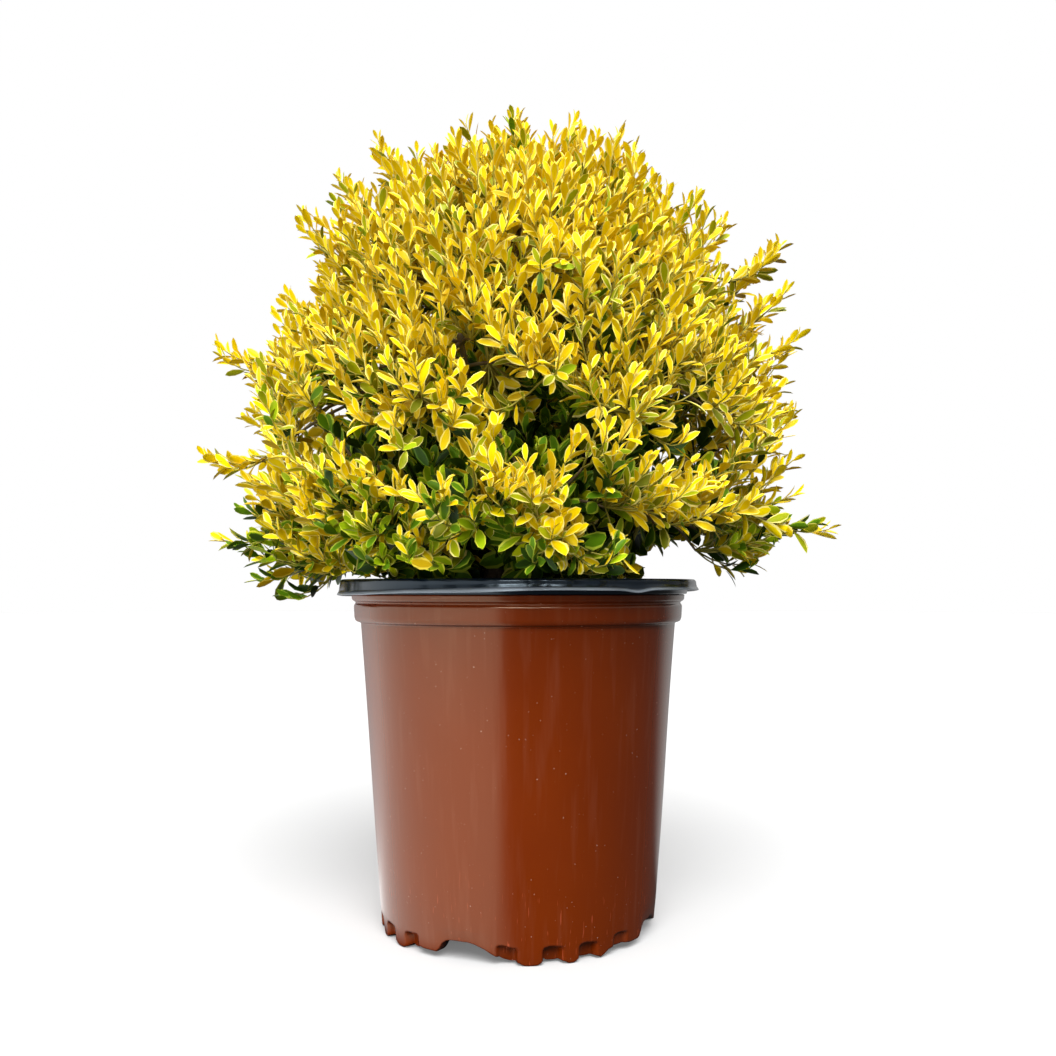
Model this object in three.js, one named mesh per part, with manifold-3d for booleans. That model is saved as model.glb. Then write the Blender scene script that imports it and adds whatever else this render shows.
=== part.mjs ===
// A small-leaved holly with gold leaves, growing in a two-tone nursery pot.
// Millimetres, +Z up, +X to the viewer's right, the viewer on the -Y side.
// The origin is the middle of the pot's flat underside.
import * as THREE from 'three';
import { mergeVertices } from 'three/addons/utils/BufferGeometryUtils.js';
import Module from 'manifold-3d';

const wasm = await Module();
wasm.setup();

// Driving dimensions of the pot, its rim and its soil
const GAP = 0.3;
const SMALLEST = 1e-3;
const ROUND = 32;
const pot = { wall: 2, footRadius: 84.2, shoulderRadius: 98.6, shoulder: 185, top: 203.8 };
const pad = { radius: 52, chamfer: 2 };
const foot = { height: 12, ring: 8.2, through: 3 };
const arch = { width: 37, height: 11.5, count: 4, first: -20 };
const pocket = { width: 10, height: 10, depth: 5.2, turns: [16, 33.5, 48, 64] };
const rim = { top: 213, bottom: 204.5, lipRadius: 113.3, topRadius: 110.8, mouthRadius: 102.6 };
const flange = { thickness: 2.2, seatRadius: 106, bendRadius: 106.8, wallRadius: 109, skirtRadius: 111 };
const liner = { thickness: 1.65, foot: 186, play: 0.4, neck: 191, neckRadius: 100.05, topRadius: 100.75 };
const soil = { top: 200, flat: 34, edge: 196.5, edgeRadius: 97, underLiner: 2, rise: 1.6, clear: 0.5 };

// The ledges of the shell's collar as [radius, height], outside going up and inside coming down
const collar = [[101, 187.6], [102.2, 190], [102.8, 197], [102.2, 199], [104.1, 200.6], [104.6, pot.top]];
const collarInside = [[101.4, pot.top], [100.4, 189]];

// Driving dimensions of the stem and the boughs
const trunk = { base: [-15, -9], tip: [-5, -2, 290], radius: 6.2, tipRadius: 3.9, sides: 8, steps: 9 };
const roots = { flare: 4.6, height: 7 };
const trunkBends = [{ at: 0.1, x: -1, y: 0.5 }, { at: 0.45, x: -1.5, y: 1 }];
const bough = { radius: 3.1, tipRadius: 2.1, sides: 5, steps: 3, stopShort: 4, sag: 0.07, perLength: 240 };

// Driving dimensions of the crown: an egg that is widest at the belly, with some shoots that run beyond it
const crown = { belly: 275, radius: 172, top: 512, bottom: 185, overPot: 215, potReach: 119, hang: 199 };
const egg = { outPower: 0.6, upPower: 2.2 };
const ragged = { share: 0.3, least: 6.8, spread: 15.3, inside: 6 };
const mouth = { radius: 88, floor: 204 };
const furthest = { out: 201, up: 520 };
const twig = { radius: 2.2, tipRadius: 1.3, sides: 3, steps: 2, from: 0.55, fromSpread: 0.4 };
const twigBow = { rising: -0.1, drooping: 0.12, stopShort: 0.8 };
const leaf = { length: 41, width: 17, thickness: 1.8, widest: 0.54, sunk: 0.25, inTip: 2 };
const leafing = { count: 5, first: 0.95, stretch: 0.4, apart: 6.5, rise: 40, riseSpread: 20 };
const leafSize = { least: 0.84, spread: 0.3 };
const core = { radius: 64, inner: 34, least: 6, shrink: 0.64, clear: 1.6, drawnIn: 1.6, stemIn: 0.4 };
const photoGap = { floor: 241, from: 62 };
const CELL_MARGIN = 0.7;
const LIMB_CLEARANCE = 1.2;
const NEIGHBOUR = 6;
const SURFACE_TARGETS = 128;
const TIP_SPACING = 31;
const OVER_POT = 8;
const GOLDEN_TURN = Math.PI * (3 - Math.sqrt(5));
const SEED = 20260;

// How many places along a limb are looked at in the tests of room
const FEW = 12;
const MANY = 40;

// Rings of foliage masses, from the ground up, with the heights at which their boughs leave the stem
const rings = [
  { name: 'lower', count: 6, radius: 92, z: 258, turn: -80, forks: [224, 233] },
  { name: 'middle', count: 6, radius: 90, z: 338, turn: -110, forks: [245, 256] },
  { name: 'upper', count: 5, radius: 62, z: 406, turn: -90, forks: [266, 279] },
];
const topMass = { name: 'top', x: -3, y: 2, z: 448 };

// The furthest shoots that make the outline seen from the front, x across and z up, all near y = 0
const outlineTips = [
  [1, 520], [41, 509], [66, 505], [88, 474], [116, 461], [133, 445], [170, 429], [174, 400], [182, 365],
  [174, 322], [176, 267], [198, 245], [146, 219], [-91, 499], [-116, 474], [-139, 451], [-148, 397],
  [-194, 359], [-200, 286], [-188, 238], [-148, 203],
];

// Colours and finishes
const finishes = {
  shell: new THREE.MeshStandardMaterial({ color: 0x8a3f1c, roughness: 0.38 }),
  rim: new THREE.MeshStandardMaterial({ color: 0x1b2028, roughness: 0.45 }),
  soil: new THREE.MeshStandardMaterial({ color: 0x3a2a1e, roughness: 0.95 }),
  bark: new THREE.MeshStandardMaterial({ color: 0x6a5a3a, roughness: 0.85 }),
  leaves: new THREE.MeshStandardMaterial({ color: 0xd8b61f, roughness: 0.55 }),
};

const radians = THREE.MathUtils.degToRad;
const vec = (x, y, z) => new THREE.Vector3(x, y, z);

// The next number from 0 to 1 of a repeatable series
function seededRandom(seed) {
  let state = seed >>> 0;
  return () => {
    state = (Math.imul(state, 1664525) + 1013904223) >>> 0;
    return state / 4294967296;
  };
}

// A closed geometry as a solid that can be joined and cut
function solid(geometry) {
  const bare = geometry.clone();
  bare.deleteAttribute('normal');
  bare.deleteAttribute('uv');
  const merged = mergeVertices(bare, SMALLEST);
  return new wasm.Manifold(
    new wasm.Mesh({
      numProp: 3,
      vertProperties: merged.attributes.position.array,
      triVerts: new Uint32Array(merged.index.array),
    }),
  );
}

// The signed volume under one triangle, which adds up to the volume of its shell
function volumeUnder(points, a, b, c) {
  const [p, q, r] = [a, b, c].map((i) => vec(points[3 * i], points[3 * i + 1], points[3 * i + 2]));
  return p.dot(q.cross(r)) / 6;
}

// The solid's surface, with its corners moved to a fine grid so that slivers close up
function snapped(made) {
  const { vertProperties, triVerts } = made.getMesh();
  const onGrid = vertProperties.map((value) => Math.round(value / SMALLEST) * SMALLEST);
  const surface = new THREE.BufferGeometry()
    .setAttribute('position', new THREE.BufferAttribute(onGrid, 3))
    .setIndex([...triVerts]);
  return mergeVertices(surface, SMALLEST / 4);
}

// Whether every edge of a solid still joins just two faces once its corners are on the grid
function closesCleanly(made) {
  const surface = snapped(made);
  const corners = surface.index.array;
  const count = surface.attributes.position.count;
  const uses = new Map();
  for (let i = 0; i < corners.length; i += 3) {
    const face = [corners[i], corners[i + 1], corners[i + 2]];
    if (new Set(face).size < 3) continue;
    face.forEach((from, k) => {
      const to = face[(k + 1) % 3];
      const edge = Math.min(from, to) * count + Math.max(from, to);
      uses.set(edge, (uses.get(edge) ?? 0) + 1);
    });
  }
  return [...uses.values()].every((shared) => shared === 2);
}

// Pieces fused one after another, leaving out any that would only touch along an edge
function fused(first, pieces) {
  return pieces.reduce((joined, piece) => {
    const next = joined.add(piece);
    return closesCleanly(next) ? next : joined;
  }, first);
}

// Only the largest outer shell of a solid: loose scraps go, and sealed hollows are filled
function largestShell(made) {
  const { vertProperties: points, triVerts: corners } = solid(snapped(made)).getMesh();
  const parent = Array.from({ length: points.length / 3 }, (_, i) => i);
  const find = (i) => {
    while (parent[i] !== i) {
      parent[i] = parent[parent[i]];
      i = parent[i];
    }
    return i;
  };
  for (let i = 0; i < corners.length; i += 3) {
    parent[find(corners[i])] = find(corners[i + 1]);
    parent[find(corners[i + 1])] = find(corners[i + 2]);
  }
  const volumes = new Map();
  for (let i = 0; i < corners.length; i += 3) {
    const shell = find(corners[i]);
    const part = volumeUnder(points, corners[i], corners[i + 1], corners[i + 2]);
    volumes.set(shell, (volumes.get(shell) ?? 0) + part);
  }
  const [largest] = [...volumes].sort((a, b) => b[1] - a[1])[0];
  const kept = [];
  for (let i = 0; i < corners.length; i += 3) {
    if (find(corners[i]) === largest) kept.push(corners[i], corners[i + 1], corners[i + 2]);
  }
  return new THREE.BufferGeometry()
    .setAttribute('position', new THREE.BufferAttribute(new Float32Array(points), 3))
    .setIndex(kept);
}

// A piece turned on the pot's axis from its section, given as [radius, height] points
function turned(section) {
  const profile = section.map(([radius, height]) => new THREE.Vector2(radius, height));
  return new THREE.LatheGeometry(profile, ROUND).rotateX(Math.PI / 2);
}

function mesh(name, geometry, finish) {
  const made = new THREE.Mesh(geometry, finish);
  made.name = name;
  return made;
}

// The pot's outer radius on its plain taper
function taperRadius(z) {
  return THREE.MathUtils.lerp(pot.footRadius, pot.shoulderRadius, z / pot.shoulder);
}

// An upright cutter with the given outline, pushed through the foot at one turn about the axis
function footCutter(outline, innerRadius, degrees) {
  const shape = new THREE.Shape(outline.map(([u, z]) => new THREE.Vector2(u, z)));
  const depth = 2 * (pot.footRadius - innerRadius);
  const cutter = new THREE.ExtrudeGeometry(shape, { depth, bevelEnabled: false });
  cutter.rotateX(Math.PI / 2).translate(0, -innerRadius, 0).rotateZ(radians(degrees));
  return solid(cutter);
}

// The arch is steep on its left and runs out gently to its right, under a flat top
function archOutline() {
  const half = arch.width / 2;
  const h = arch.height;
  return [
    [-half, -1],
    [half, -1],
    [0.55 * half, 0.7 * h],
    [0.1 * half, h],
    [-0.6 * half, h],
    [-0.85 * half, 0.75 * h],
  ];
}

// A pocket has upright sides and a round top
function pocketOutline() {
  const half = pocket.width / 2;
  const spring = pocket.height - half;
  const crest = [0, 60, 120, 180].map((a) => [
    half * Math.cos(radians(a)),
    spring + half * Math.sin(radians(a)),
  ]);
  return [[-half, -1], [half, -1], ...crest];
}

// The brown shell stands on a flat pad and on a foot ring that arches and pockets break up
function potShell() {
  const channelOuter = pot.footRadius - foot.ring;
  const inner = (z) => taperRadius(z) - pot.wall;
  const floorTop = foot.height + pot.wall;
  const shoulderInside = pot.shoulder - pot.wall;
  let made = solid(
    turned([
      [0, 0],
      [pad.radius, 0],
      [pad.radius + pad.chamfer, foot.height],
      [channelOuter, foot.height],
      [channelOuter, 0],
      [pot.footRadius, 0],
      [pot.shoulderRadius, pot.shoulder],
      ...collar,
      ...collarInside,
      [inner(shoulderInside), shoulderInside],
      [inner(floorTop), floorTop],
      [0, floorTop],
    ]),
  );
  for (let i = 0; i < arch.count; i += 1) {
    const turn = arch.first + (360 * i) / arch.count;
    made = made.subtract(footCutter(archOutline(), channelOuter - foot.through, turn));
    for (const step of pocket.turns) {
      made = made.subtract(footCutter(pocketOutline(), pot.footRadius - pocket.depth, turn + step));
    }
  }
  return mesh('pot_shell', largestShell(made), finishes.shell);
}

// The black rim is a downturned flange with a liner that lines the shell below it
function potRim() {
  const footRadius = taperRadius(liner.foot) - pot.wall - GAP - liner.play;
  const seat = pot.top + GAP;
  const underside = rim.top - flange.thickness;
  const section = [
    [footRadius - liner.thickness, liner.foot],
    [footRadius, liner.foot],
    [liner.neckRadius, liner.neck],
    [liner.topRadius, seat],
    [flange.seatRadius, seat],
    [flange.bendRadius, underside],
    [flange.wallRadius, underside],
    [flange.skirtRadius, rim.bottom],
    [rim.lipRadius, rim.bottom],
    [rim.topRadius, rim.top],
    [rim.mouthRadius, rim.top],
    [liner.neckRadius - liner.thickness, liner.neck],
  ];
  return mesh('pot_rim', turned([...section, section[0]]), finishes.rim);
}

// The soil fills the pot, clear of its wall, and mounds a little to the stem
function potSoil() {
  const inner = (z) => taperRadius(z) - pot.wall - GAP;
  const floor = foot.height + pot.wall + GAP;
  const belowLiner = liner.foot - soil.underLiner;
  const insideLiner = inner(liner.foot) - liner.play - liner.thickness - soil.clear;
  return mesh(
    'soil',
    turned([
      [0, floor],
      [inner(floor), floor],
      [inner(belowLiner), belowLiner],
      [insideLiner, belowLiner + soil.rise],
      [soil.edgeRadius, soil.edge],
      [soil.flat, soil.top],
      [0, soil.top],
    ]),
    finishes.soil,
  );
}

// A tapering limb: a cylinder bent along a curve, with its radius given by how far along it is
function limbGeometry({ curve, sides, steps, level }, radiusAt) {
  const geometry = new THREE.CylinderGeometry(1, 1, 1, sides, steps);
  const { normals, binormals } = level ? levelFrames(steps) : curve.computeFrenetFrames(steps, false);
  const at = geometry.attributes.position;
  for (let i = 0; i < at.count; i += 1) {
    const step = Math.round((0.5 - at.getY(i)) * steps);
    const radius = radiusAt(step / steps);
    const point = curve
      .getPoint(step / steps)
      .addScaledVector(normals[step], at.getX(i) * radius)
      .addScaledVector(binormals[step], at.getZ(i) * radius);
    at.setXYZ(i, point.x, point.y, point.z);
  }
  return geometry;
}

// Level sections all the way up, so that a limb is cut off flat at the ground
function levelFrames(steps) {
  const all = (axis) => Array.from({ length: steps + 1 }, () => axis);
  return { normals: all(vec(1, 0, 0)), binormals: all(vec(0, 1, 0)) };
}

// What a limb is: its curve, its taper, its sides and steps, and whether its sections are level
function limb(name, curve, radiusAt, sides, steps, level = false) {
  return { name, curve, radiusAt, sides, steps, level };
}

// The limb as a solid, all over thicker by what is given
function limbSolid(part, thicker = 0) {
  return solid(limbGeometry(part, (t) => part.radiusAt(t) + thicker));
}

// The stem leans to the right as it rises, and flares into its roots at the soil
function stemLimb() {
  const [x, y] = trunk.base;
  const tip = vec(...trunk.tip);
  const base = vec(x, y, soil.top + GAP);
  const bends = trunkBends.map((bend) => base.clone().lerp(tip, bend.at).add(vec(bend.x, bend.y, 0)));
  const curve = new THREE.CatmullRomCurve3([base, ...bends, tip]);
  const radiusAt = (t) => {
    const height = t * (tip.z - base.z);
    const flare = roots.flare * Math.exp(-height / roots.height);
    return THREE.MathUtils.lerp(trunk.radius, trunk.tipRadius, t) + flare;
  };
  return limb('trunk', curve, radiusAt, trunk.sides, trunk.steps, true);
}

// The point of the stem's axis at one height
function stemAt(stem, z) {
  let [low, high] = [0, 1];
  for (let i = 0; i < 30; i += 1) {
    const middle = (low + high) / 2;
    if (stem.curve.getPoint(middle).z < z) low = middle;
    else high = middle;
  }
  return stem.curve.getPoint(low);
}

// The places of the foliage masses, each with the height at which its bough leaves the stem
function massPlaces() {
  const places = rings.flatMap((ring) =>
    Array.from({ length: ring.count }, (_, i) => {
      const turn = radians(ring.turn + (360 * i) / ring.count);
      const centre = vec(ring.radius * Math.cos(turn), ring.radius * Math.sin(turn), ring.z);
      return { name: `${ring.name}_${i + 1}`, centre, fork: ring.forks[i % ring.forks.length] };
    }),
  );
  const { name, x, y, z } = topMass;
  return [...places, { name, centre: vec(x, y, z), fork: null }];
}

// A bough leaves the stem outwards, turns up, and stops short of its mass's core
function boughLimb(place, stem) {
  const root = place.fork ? stemAt(stem, place.fork) : stem.curve.getPoint(1);
  const reach = place.centre.clone().sub(root);
  const length = reach.length() - core.inner - bough.stopShort;
  const tip = root.clone().addScaledVector(reach.clone().normalize(), length);
  if (!place.fork) {
    root.addScaledVector(stem.curve.getTangent(1), GAP);
  }
  const bend = root.clone().lerp(tip, 0.5).add(vec(0, 0, place.fork ? -bough.sag * length : 0));
  const curve = new THREE.QuadraticBezierCurve3(root, bend, tip);
  const rootRadius = bough.radius + length / bough.perLength;
  const radiusAt = (t) => THREE.MathUtils.lerp(rootRadius, bough.tipRadius, t);
  return limb(`bough_${place.name}`, curve, radiusAt, bough.sides, bough.steps);
}

// Each bough is cut back clear of the stem and of the boughs before it
function limbMeshes(limbs) {
  return limbs.map((part, i) => {
    const cutters = limbs.slice(0, i).filter((other) => limbsNear(part, other));
    const made = cutters.reduce((left, other) => left.subtract(limbSolid(other, GAP)), limbSolid(part));
    return mesh(part.name, largestShell(made), finishes.bark);
  });
}

function limbsNear(a, b) {
  const near = NEIGHBOUR + a.radiusAt(0) + b.radiusAt(0);
  return a.curve.getPoints(FEW).some((p) => b.curve.getPoints(MANY).some((q) => p.distanceTo(q) < near));
}

// How deep inside the crown's egg a point lies: below 1 inside, above 1 outside
function crownLevel(p) {
  const height = p.z > crown.belly ? crown.top - crown.belly : crown.belly - crown.bottom;
  const up = Math.abs(p.z - crown.belly) / height;
  return (Math.hypot(p.x, p.y) / crown.radius) ** (1 / egg.outPower) + up ** egg.upPower;
}

// Points spread evenly over the egg by the golden angle, left out where the pot is
function surfaceTargets(random) {
  const targets = [];
  for (let k = 0; k < SURFACE_TARGETS; k += 1) {
    const across = 1 - (2 * (k + 0.5)) / SURFACE_TARGETS;
    const out = (1 - across * across) ** egg.outPower;
    const height = across > 0 ? crown.top - crown.belly : crown.belly - crown.bottom;
    const z = crown.belly + Math.sign(across) * height * Math.abs(across) ** (2 / egg.upPower);
    const turn = k * GOLDEN_TURN;
    const juts = random() < ragged.share;
    const beyond = juts ? ragged.least + ragged.spread * random() : -ragged.inside * random();
    const radius = crown.radius * out + beyond;
    const target = vec(radius * Math.cos(turn), radius * Math.sin(turn), z + beyond * Math.max(0, across));
    if (target.z > crown.overPot + OVER_POT) targets.push(target);
  }
  const tips = outlineTips.map(([x, z], i) => vec(x, ((i * 5) % 7) - 3, z));
  const spaced = targets.filter((p) => tips.every((tip) => tip.distanceTo(p) > TIP_SPACING));
  return [...tips, ...spaced];
}

// The planes halfway to the other masses, which bound a mass's own space
function cellPlanes(place, places) {
  return places
    .filter((other) => other !== place)
    .map((other) => {
      const away = other.centre.clone().sub(place.centre).normalize();
      const middle = other.centre.clone().lerp(place.centre, 0.5);
      return { away, offset: away.dot(middle) - CELL_MARGIN };
    });
}

function insideCell(p, planes) {
  return planes.every(({ away, offset }) => away.dot(p) <= offset);
}

// Within the crown's reach, and clear of the pot: above its rim, or outside it and not too low
function inReach(p) {
  const out = Math.hypot(p.x, p.y);
  const outside = out > crown.potReach ? crown.hang : crown.overPot;
  const floor = out < mouth.radius ? mouth.floor : outside;
  return out < furthest.out && p.z < furthest.up + SMALLEST && p.z > floor;
}

// Points along every limb with the limb's radius there, for clearance tests
function limbBeads(limbs) {
  return limbs.flatMap((part) => {
    const count = Math.ceil(part.curve.getLength() / 3);
    return Array.from({ length: count + 1 }, (_, i) => ({
      centre: part.curve.getPoint(i / count),
      radius: part.radiusAt(i / count),
    }));
  });
}

function clearOfLimbs(p, beads, around) {
  return beads.every(({ centre, radius }) => centre.distanceTo(p) > radius + around + LIMB_CLEARANCE);
}

// A place on a limb's straight steps, and which way the limb runs there
function spotOn({ curve, steps }, t) {
  const step = Math.min(steps - 1, Math.floor(t * steps));
  const [from, to] = [curve.getPoint(step / steps), curve.getPoint((step + 1) / steps)];
  return { at: from.clone().lerp(to, t * steps - step), way: to.sub(from).normalize(), step };
}

// A leaf is eight faces: pointed at both ends, widest past its middle, thin at its edges
function leafGeometry({ root, along, face, length }) {
  const side = face.clone().cross(along);
  const geometry = new THREE.OctahedronGeometry(1, 0);
  const at = geometry.attributes.position;
  for (let i = 0; i < at.count; i += 1) {
    const x = at.getX(i);
    const point = pointAlong({ root, along, length }, x === 0 ? leaf.widest : (x + 1) / 2)
      .addScaledVector(side, (at.getY(i) * leaf.width * length) / leaf.length / 2)
      .addScaledVector(face, (at.getZ(i) * leaf.thickness) / 2);
    at.setXYZ(i, point.x, point.y, point.z);
  }
  return geometry;
}

function pointAlong({ root, along, length }, t) {
  return root.clone().addScaledVector(along, t * length);
}

// Where a leaf runs outside its twig, for keeping leaves apart
function leafMidline(blade) {
  return [0.35, 0.5, 0.65, 0.8, 1].map((t) => pointAlong(blade, t));
}

// The corners of a leaf and the middles between them, where its room is tested
function leafProbes(blade) {
  const at = leafGeometry(blade).attributes.position;
  const corners = Array.from({ length: at.count }, (_, i) => vec().fromBufferAttribute(at, i));
  const middles = corners.map((p, i) => p.clone().lerp(corners[(i + 1) % corners.length], 0.5));
  return [...corners, ...middles];
}

function leavesTouch(a, b) {
  return leafMidline(a).some((p) => leafMidline(b).some((q) => p.distanceTo(q) < leafing.apart));
}

function twigTouches(blade, other) {
  const spots = [0.5, 0.6, 0.7, 0.8, 0.9, 1].map((t) => spotOn(other, t).at);
  return leafMidline(blade).some((p) => spots.some((q) => p.distanceTo(q) < leafing.apart));
}

// The core is a faceted ball, drawn in where the space ends, and cut clear of any limb
function coreSolid(heart, limbs) {
  const geometry = new THREE.OctahedronGeometry(1, 1);
  const at = geometry.attributes.position;
  for (let i = 0; i < at.count; i += 1) {
    const ray = vec().fromBufferAttribute(at, i).normalize();
    const point = heart.centre.clone().addScaledVector(ray, coreReach(heart, ray));
    at.setXYZ(i, point.x, point.y, point.z);
  }
  const near = limbs.filter((part) => limbInside(heart, part));
  return near.reduce((left, part) => left.subtract(limbSolid(part, LIMB_CLEARANCE)), solid(geometry));
}

function limbInside(heart, part) {
  return part.curve.getPoints(MANY).some((p) => p.distanceTo(heart.centre) < core.radius + bough.radius);
}

// How far the core reaches along a ray: less on its inner side, where the bough comes in
function coreReach({ centre, outward, planes }, ray) {
  const inward = Math.max(0, -ray.dot(outward));
  const wanted = THREE.MathUtils.lerp(core.radius, core.inner, Math.min(1, core.drawnIn * inward));
  for (let reach = wanted; reach > core.least; reach -= 1) {
    const p = centre.clone().addScaledVector(ray, reach);
    const beyond = p.clone().addScaledVector(ray, core.clear);
    const overGap = p.z > (p.x < photoGap.from ? crown.overPot : photoGap.floor);
    if (overGap && insideCell(beyond, planes) && crownLevel(p) < core.shrink && inReach(beyond)) return reach;
  }
  return core.least;
}

function insideCore(heart, p) {
  const ray = p.clone().sub(heart.centre);
  return ray.length() < coreReach(heart, ray.clone().normalize());
}

// The mass's stem starts clear of its bough's tip and runs on through the core
function massStem(place, part) {
  const ahead = part.curve.getTangent(1);
  const start = part.curve.getPoint(1).addScaledVector(ahead, GAP);
  const end = place.centre.clone().addScaledVector(ahead, core.stemIn * core.inner);
  const bend = start.clone().addScaledVector(ahead, start.distanceTo(end) / 2);
  const curve = new THREE.QuadraticBezierCurve3(start, bend, end);
  const radiusAt = (t) => THREE.MathUtils.lerp(bough.tipRadius, twig.radius, t);
  return limb(`stem_${place.name}`, curve, radiusAt, bough.sides, 1);
}

// A twig leaves its stem, bows, and ends one leaf short of its target
function massTwig(stem, target, random) {
  const start = stem.curve.getPoint(twig.from + twig.fromSpread * random());
  const reach = target.clone().sub(start);
  const end = target.clone().addScaledVector(reach.clone().normalize(), -twigBow.stopShort * leaf.length);
  const bow = target.z > start.z ? twigBow.rising : twigBow.drooping;
  const bend = start.clone().lerp(end, 0.5).add(vec(0, 0, bow * reach.length()));
  const curve = new THREE.QuadraticBezierCurve3(start, bend, end);
  const radiusAt = (t) => THREE.MathUtils.lerp(twig.radius, twig.tipRadius, t);
  return { ...limb('twig', curve, radiusAt, twig.sides, twig.steps), target };
}

function twigFits(shoot, planes, beads) {
  const spots = shoot.curve.getPoints(FEW);
  return spots.every((p) => insideCell(p, planes) && inReach(p) && clearOfLimbs(p, beads, twig.radius));
}

// The leaf that ends a twig and reaches the twig's target
function tipLeaf(shoot) {
  const end = shoot.curve.getPoint(1);
  const last = shoot.target.clone().sub(end);
  const way = last.clone().normalize();
  const face = way.clone().cross(vec(0, 0, 1)).cross(way).normalize();
  const root = end.addScaledVector(way, -leaf.inTip);
  return { root, along: way, face, length: last.length() + leaf.inTip };
}

// A leaf that rises from one flat side of its twig, its face turned to the twig's tip
function sideLeaf(shoot, t, side, random) {
  const { at, way, step } = spotOn(shoot, t);
  const { normals, binormals } = shoot.curve.computeFrenetFrames(twig.steps, false);
  const turn = (2 * Math.PI * (side + 0.5)) / twig.sides;
  const out = vec()
    .addScaledVector(normals[step], Math.sin(turn))
    .addScaledVector(binormals[step], Math.cos(turn))
    .projectOnPlane(way)
    .normalize();
  const rise = radians(leafing.rise + leafing.riseSpread * random());
  return {
    root: at.addScaledVector(out, -leaf.sunk),
    along: way.clone().multiplyScalar(Math.cos(rise)).addScaledVector(out, Math.sin(rise)),
    face: way.clone().multiplyScalar(-Math.sin(rise)).addScaledVector(out, Math.cos(rise)),
    length: leaf.length * (leafSize.least + leafSize.spread * random()),
  };
}

// The leaves of one twig: one ends it, and the rest rise from its three sides in turn
function twigLeaves(shoot, fits, random) {
  const leaves = [];
  const last = tipLeaf(shoot);
  if (fits(last)) leaves.push(last);
  let side = Math.floor(random() * twig.sides);
  for (let i = 0; i < leafing.count; i += 1) {
    const t = leafing.first - (leafing.stretch * i) / leafing.count;
    for (let attempt = 0; attempt < twig.sides; attempt += 1) {
      side += 1;
      const blade = sideLeaf(shoot, t, side, random);
      if (!fits(blade) || leaves.some((other) => leavesTouch(blade, other))) continue;
      leaves.push(blade);
      break;
    }
  }
  return leaves;
}

// One mass of foliage: a core, a stem, twigs and leaves, fused into one solid
function foliageMass(place, part, places, targets, limbs, beads, random) {
  const planes = cellPlanes(place, places);
  const heart = { centre: place.centre, outward: part.curve.getTangent(1), planes };
  const stem = massStem(place, part);
  const roomy = (p) => insideCell(p, planes) && inReach(p) && clearOfLimbs(p, beads, 0);
  const shoots = targets
    .filter((p) => insideCell(p, planes))
    .map((target) => massTwig(stem, target, random))
    .filter((shoot) => twigFits(shoot, planes, beads));
  const blades = [];
  for (const shoot of shoots) {
    const others = shoots.filter((other) => other !== shoot);
    const fits = (blade) => {
      const bare = [0.2, 0.6, 1].every((t) => !insideCore(heart, pointAlong(blade, t)));
      const apart = !blades.some((other) => leavesTouch(blade, other));
      const free = !others.some((other) => twigTouches(blade, other));
      return bare && apart && free && leafProbes(blade).every(roomy);
    };
    blades.push(...twigLeaves(shoot, fits, random));
  }
  const pieces = [stem, ...shoots].map((part) => limbSolid(part));
  pieces.push(...blades.map((blade) => solid(leafGeometry(blade))));
  const made = fused(coreSolid(heart, limbs), pieces);
  return mesh(`foliage_${place.name}`, largestShell(made), finishes.leaves);
}

function holly() {
  const random = seededRandom(SEED);
  const stem = stemLimb();
  const places = massPlaces();
  const boughs = places.map((place) => boughLimb(place, stem));
  const limbs = [stem, ...boughs];
  const beads = limbBeads(limbs);
  const targets = surfaceTargets(random);
  const plant = new THREE.Group();
  plant.name = 'holly';
  plant.add(...limbMeshes(limbs));
  places.forEach((place, i) => {
    plant.add(foliageMass(place, boughs[i], places, targets, limbs, beads, random));
  });
  return plant;
}

const pottedHolly = new THREE.Group();
pottedHolly.name = 'potted_holly';
pottedHolly.add(potShell(), potRim(), potSoil(), holly());

export default pottedHolly;
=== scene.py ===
# %% [markdown]
# # A variegated holly in a nursery pot
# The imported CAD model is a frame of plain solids: a pot, its rim, the growing mix, a stem with
# boughs, and eighteen masses of foliage. This lesson puts the finished surfaces over that frame.
# Every shape is worked out in millimetres, in the frame's own axes: +Z is up, +X is to the right
# of the photograph, and the photograph is taken from the -Y side.

# %% Load the frame
import math

import bpy
import numpy as np
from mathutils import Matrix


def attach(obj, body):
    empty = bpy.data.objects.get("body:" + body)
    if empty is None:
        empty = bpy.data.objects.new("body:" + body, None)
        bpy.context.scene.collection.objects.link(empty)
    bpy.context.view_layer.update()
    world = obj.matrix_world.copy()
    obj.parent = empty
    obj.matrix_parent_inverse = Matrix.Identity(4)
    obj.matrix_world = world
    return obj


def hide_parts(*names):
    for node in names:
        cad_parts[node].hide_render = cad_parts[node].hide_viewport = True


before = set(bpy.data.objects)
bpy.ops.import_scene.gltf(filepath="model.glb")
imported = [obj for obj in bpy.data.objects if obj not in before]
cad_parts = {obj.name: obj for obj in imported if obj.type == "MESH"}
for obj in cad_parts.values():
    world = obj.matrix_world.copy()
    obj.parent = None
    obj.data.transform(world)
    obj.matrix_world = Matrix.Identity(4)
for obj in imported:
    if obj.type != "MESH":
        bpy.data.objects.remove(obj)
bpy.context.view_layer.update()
print("nodes in the frame:", len(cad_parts))

# %% [markdown]
# ## From arrays to meshes
# A plant is thousands of small things, so clicking or looping over vertices is out of the question.
# Instead each shape is a numpy array of points, and Blender's `foreach_set` copies whole arrays into
# a mesh at one go. Two patterns of faces do for nearly everything: rings of points one after
# another, closed by a pole at each end, and one small pattern repeated for many copies.

# %% A mesh from arrays
MM = 0.001


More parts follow.
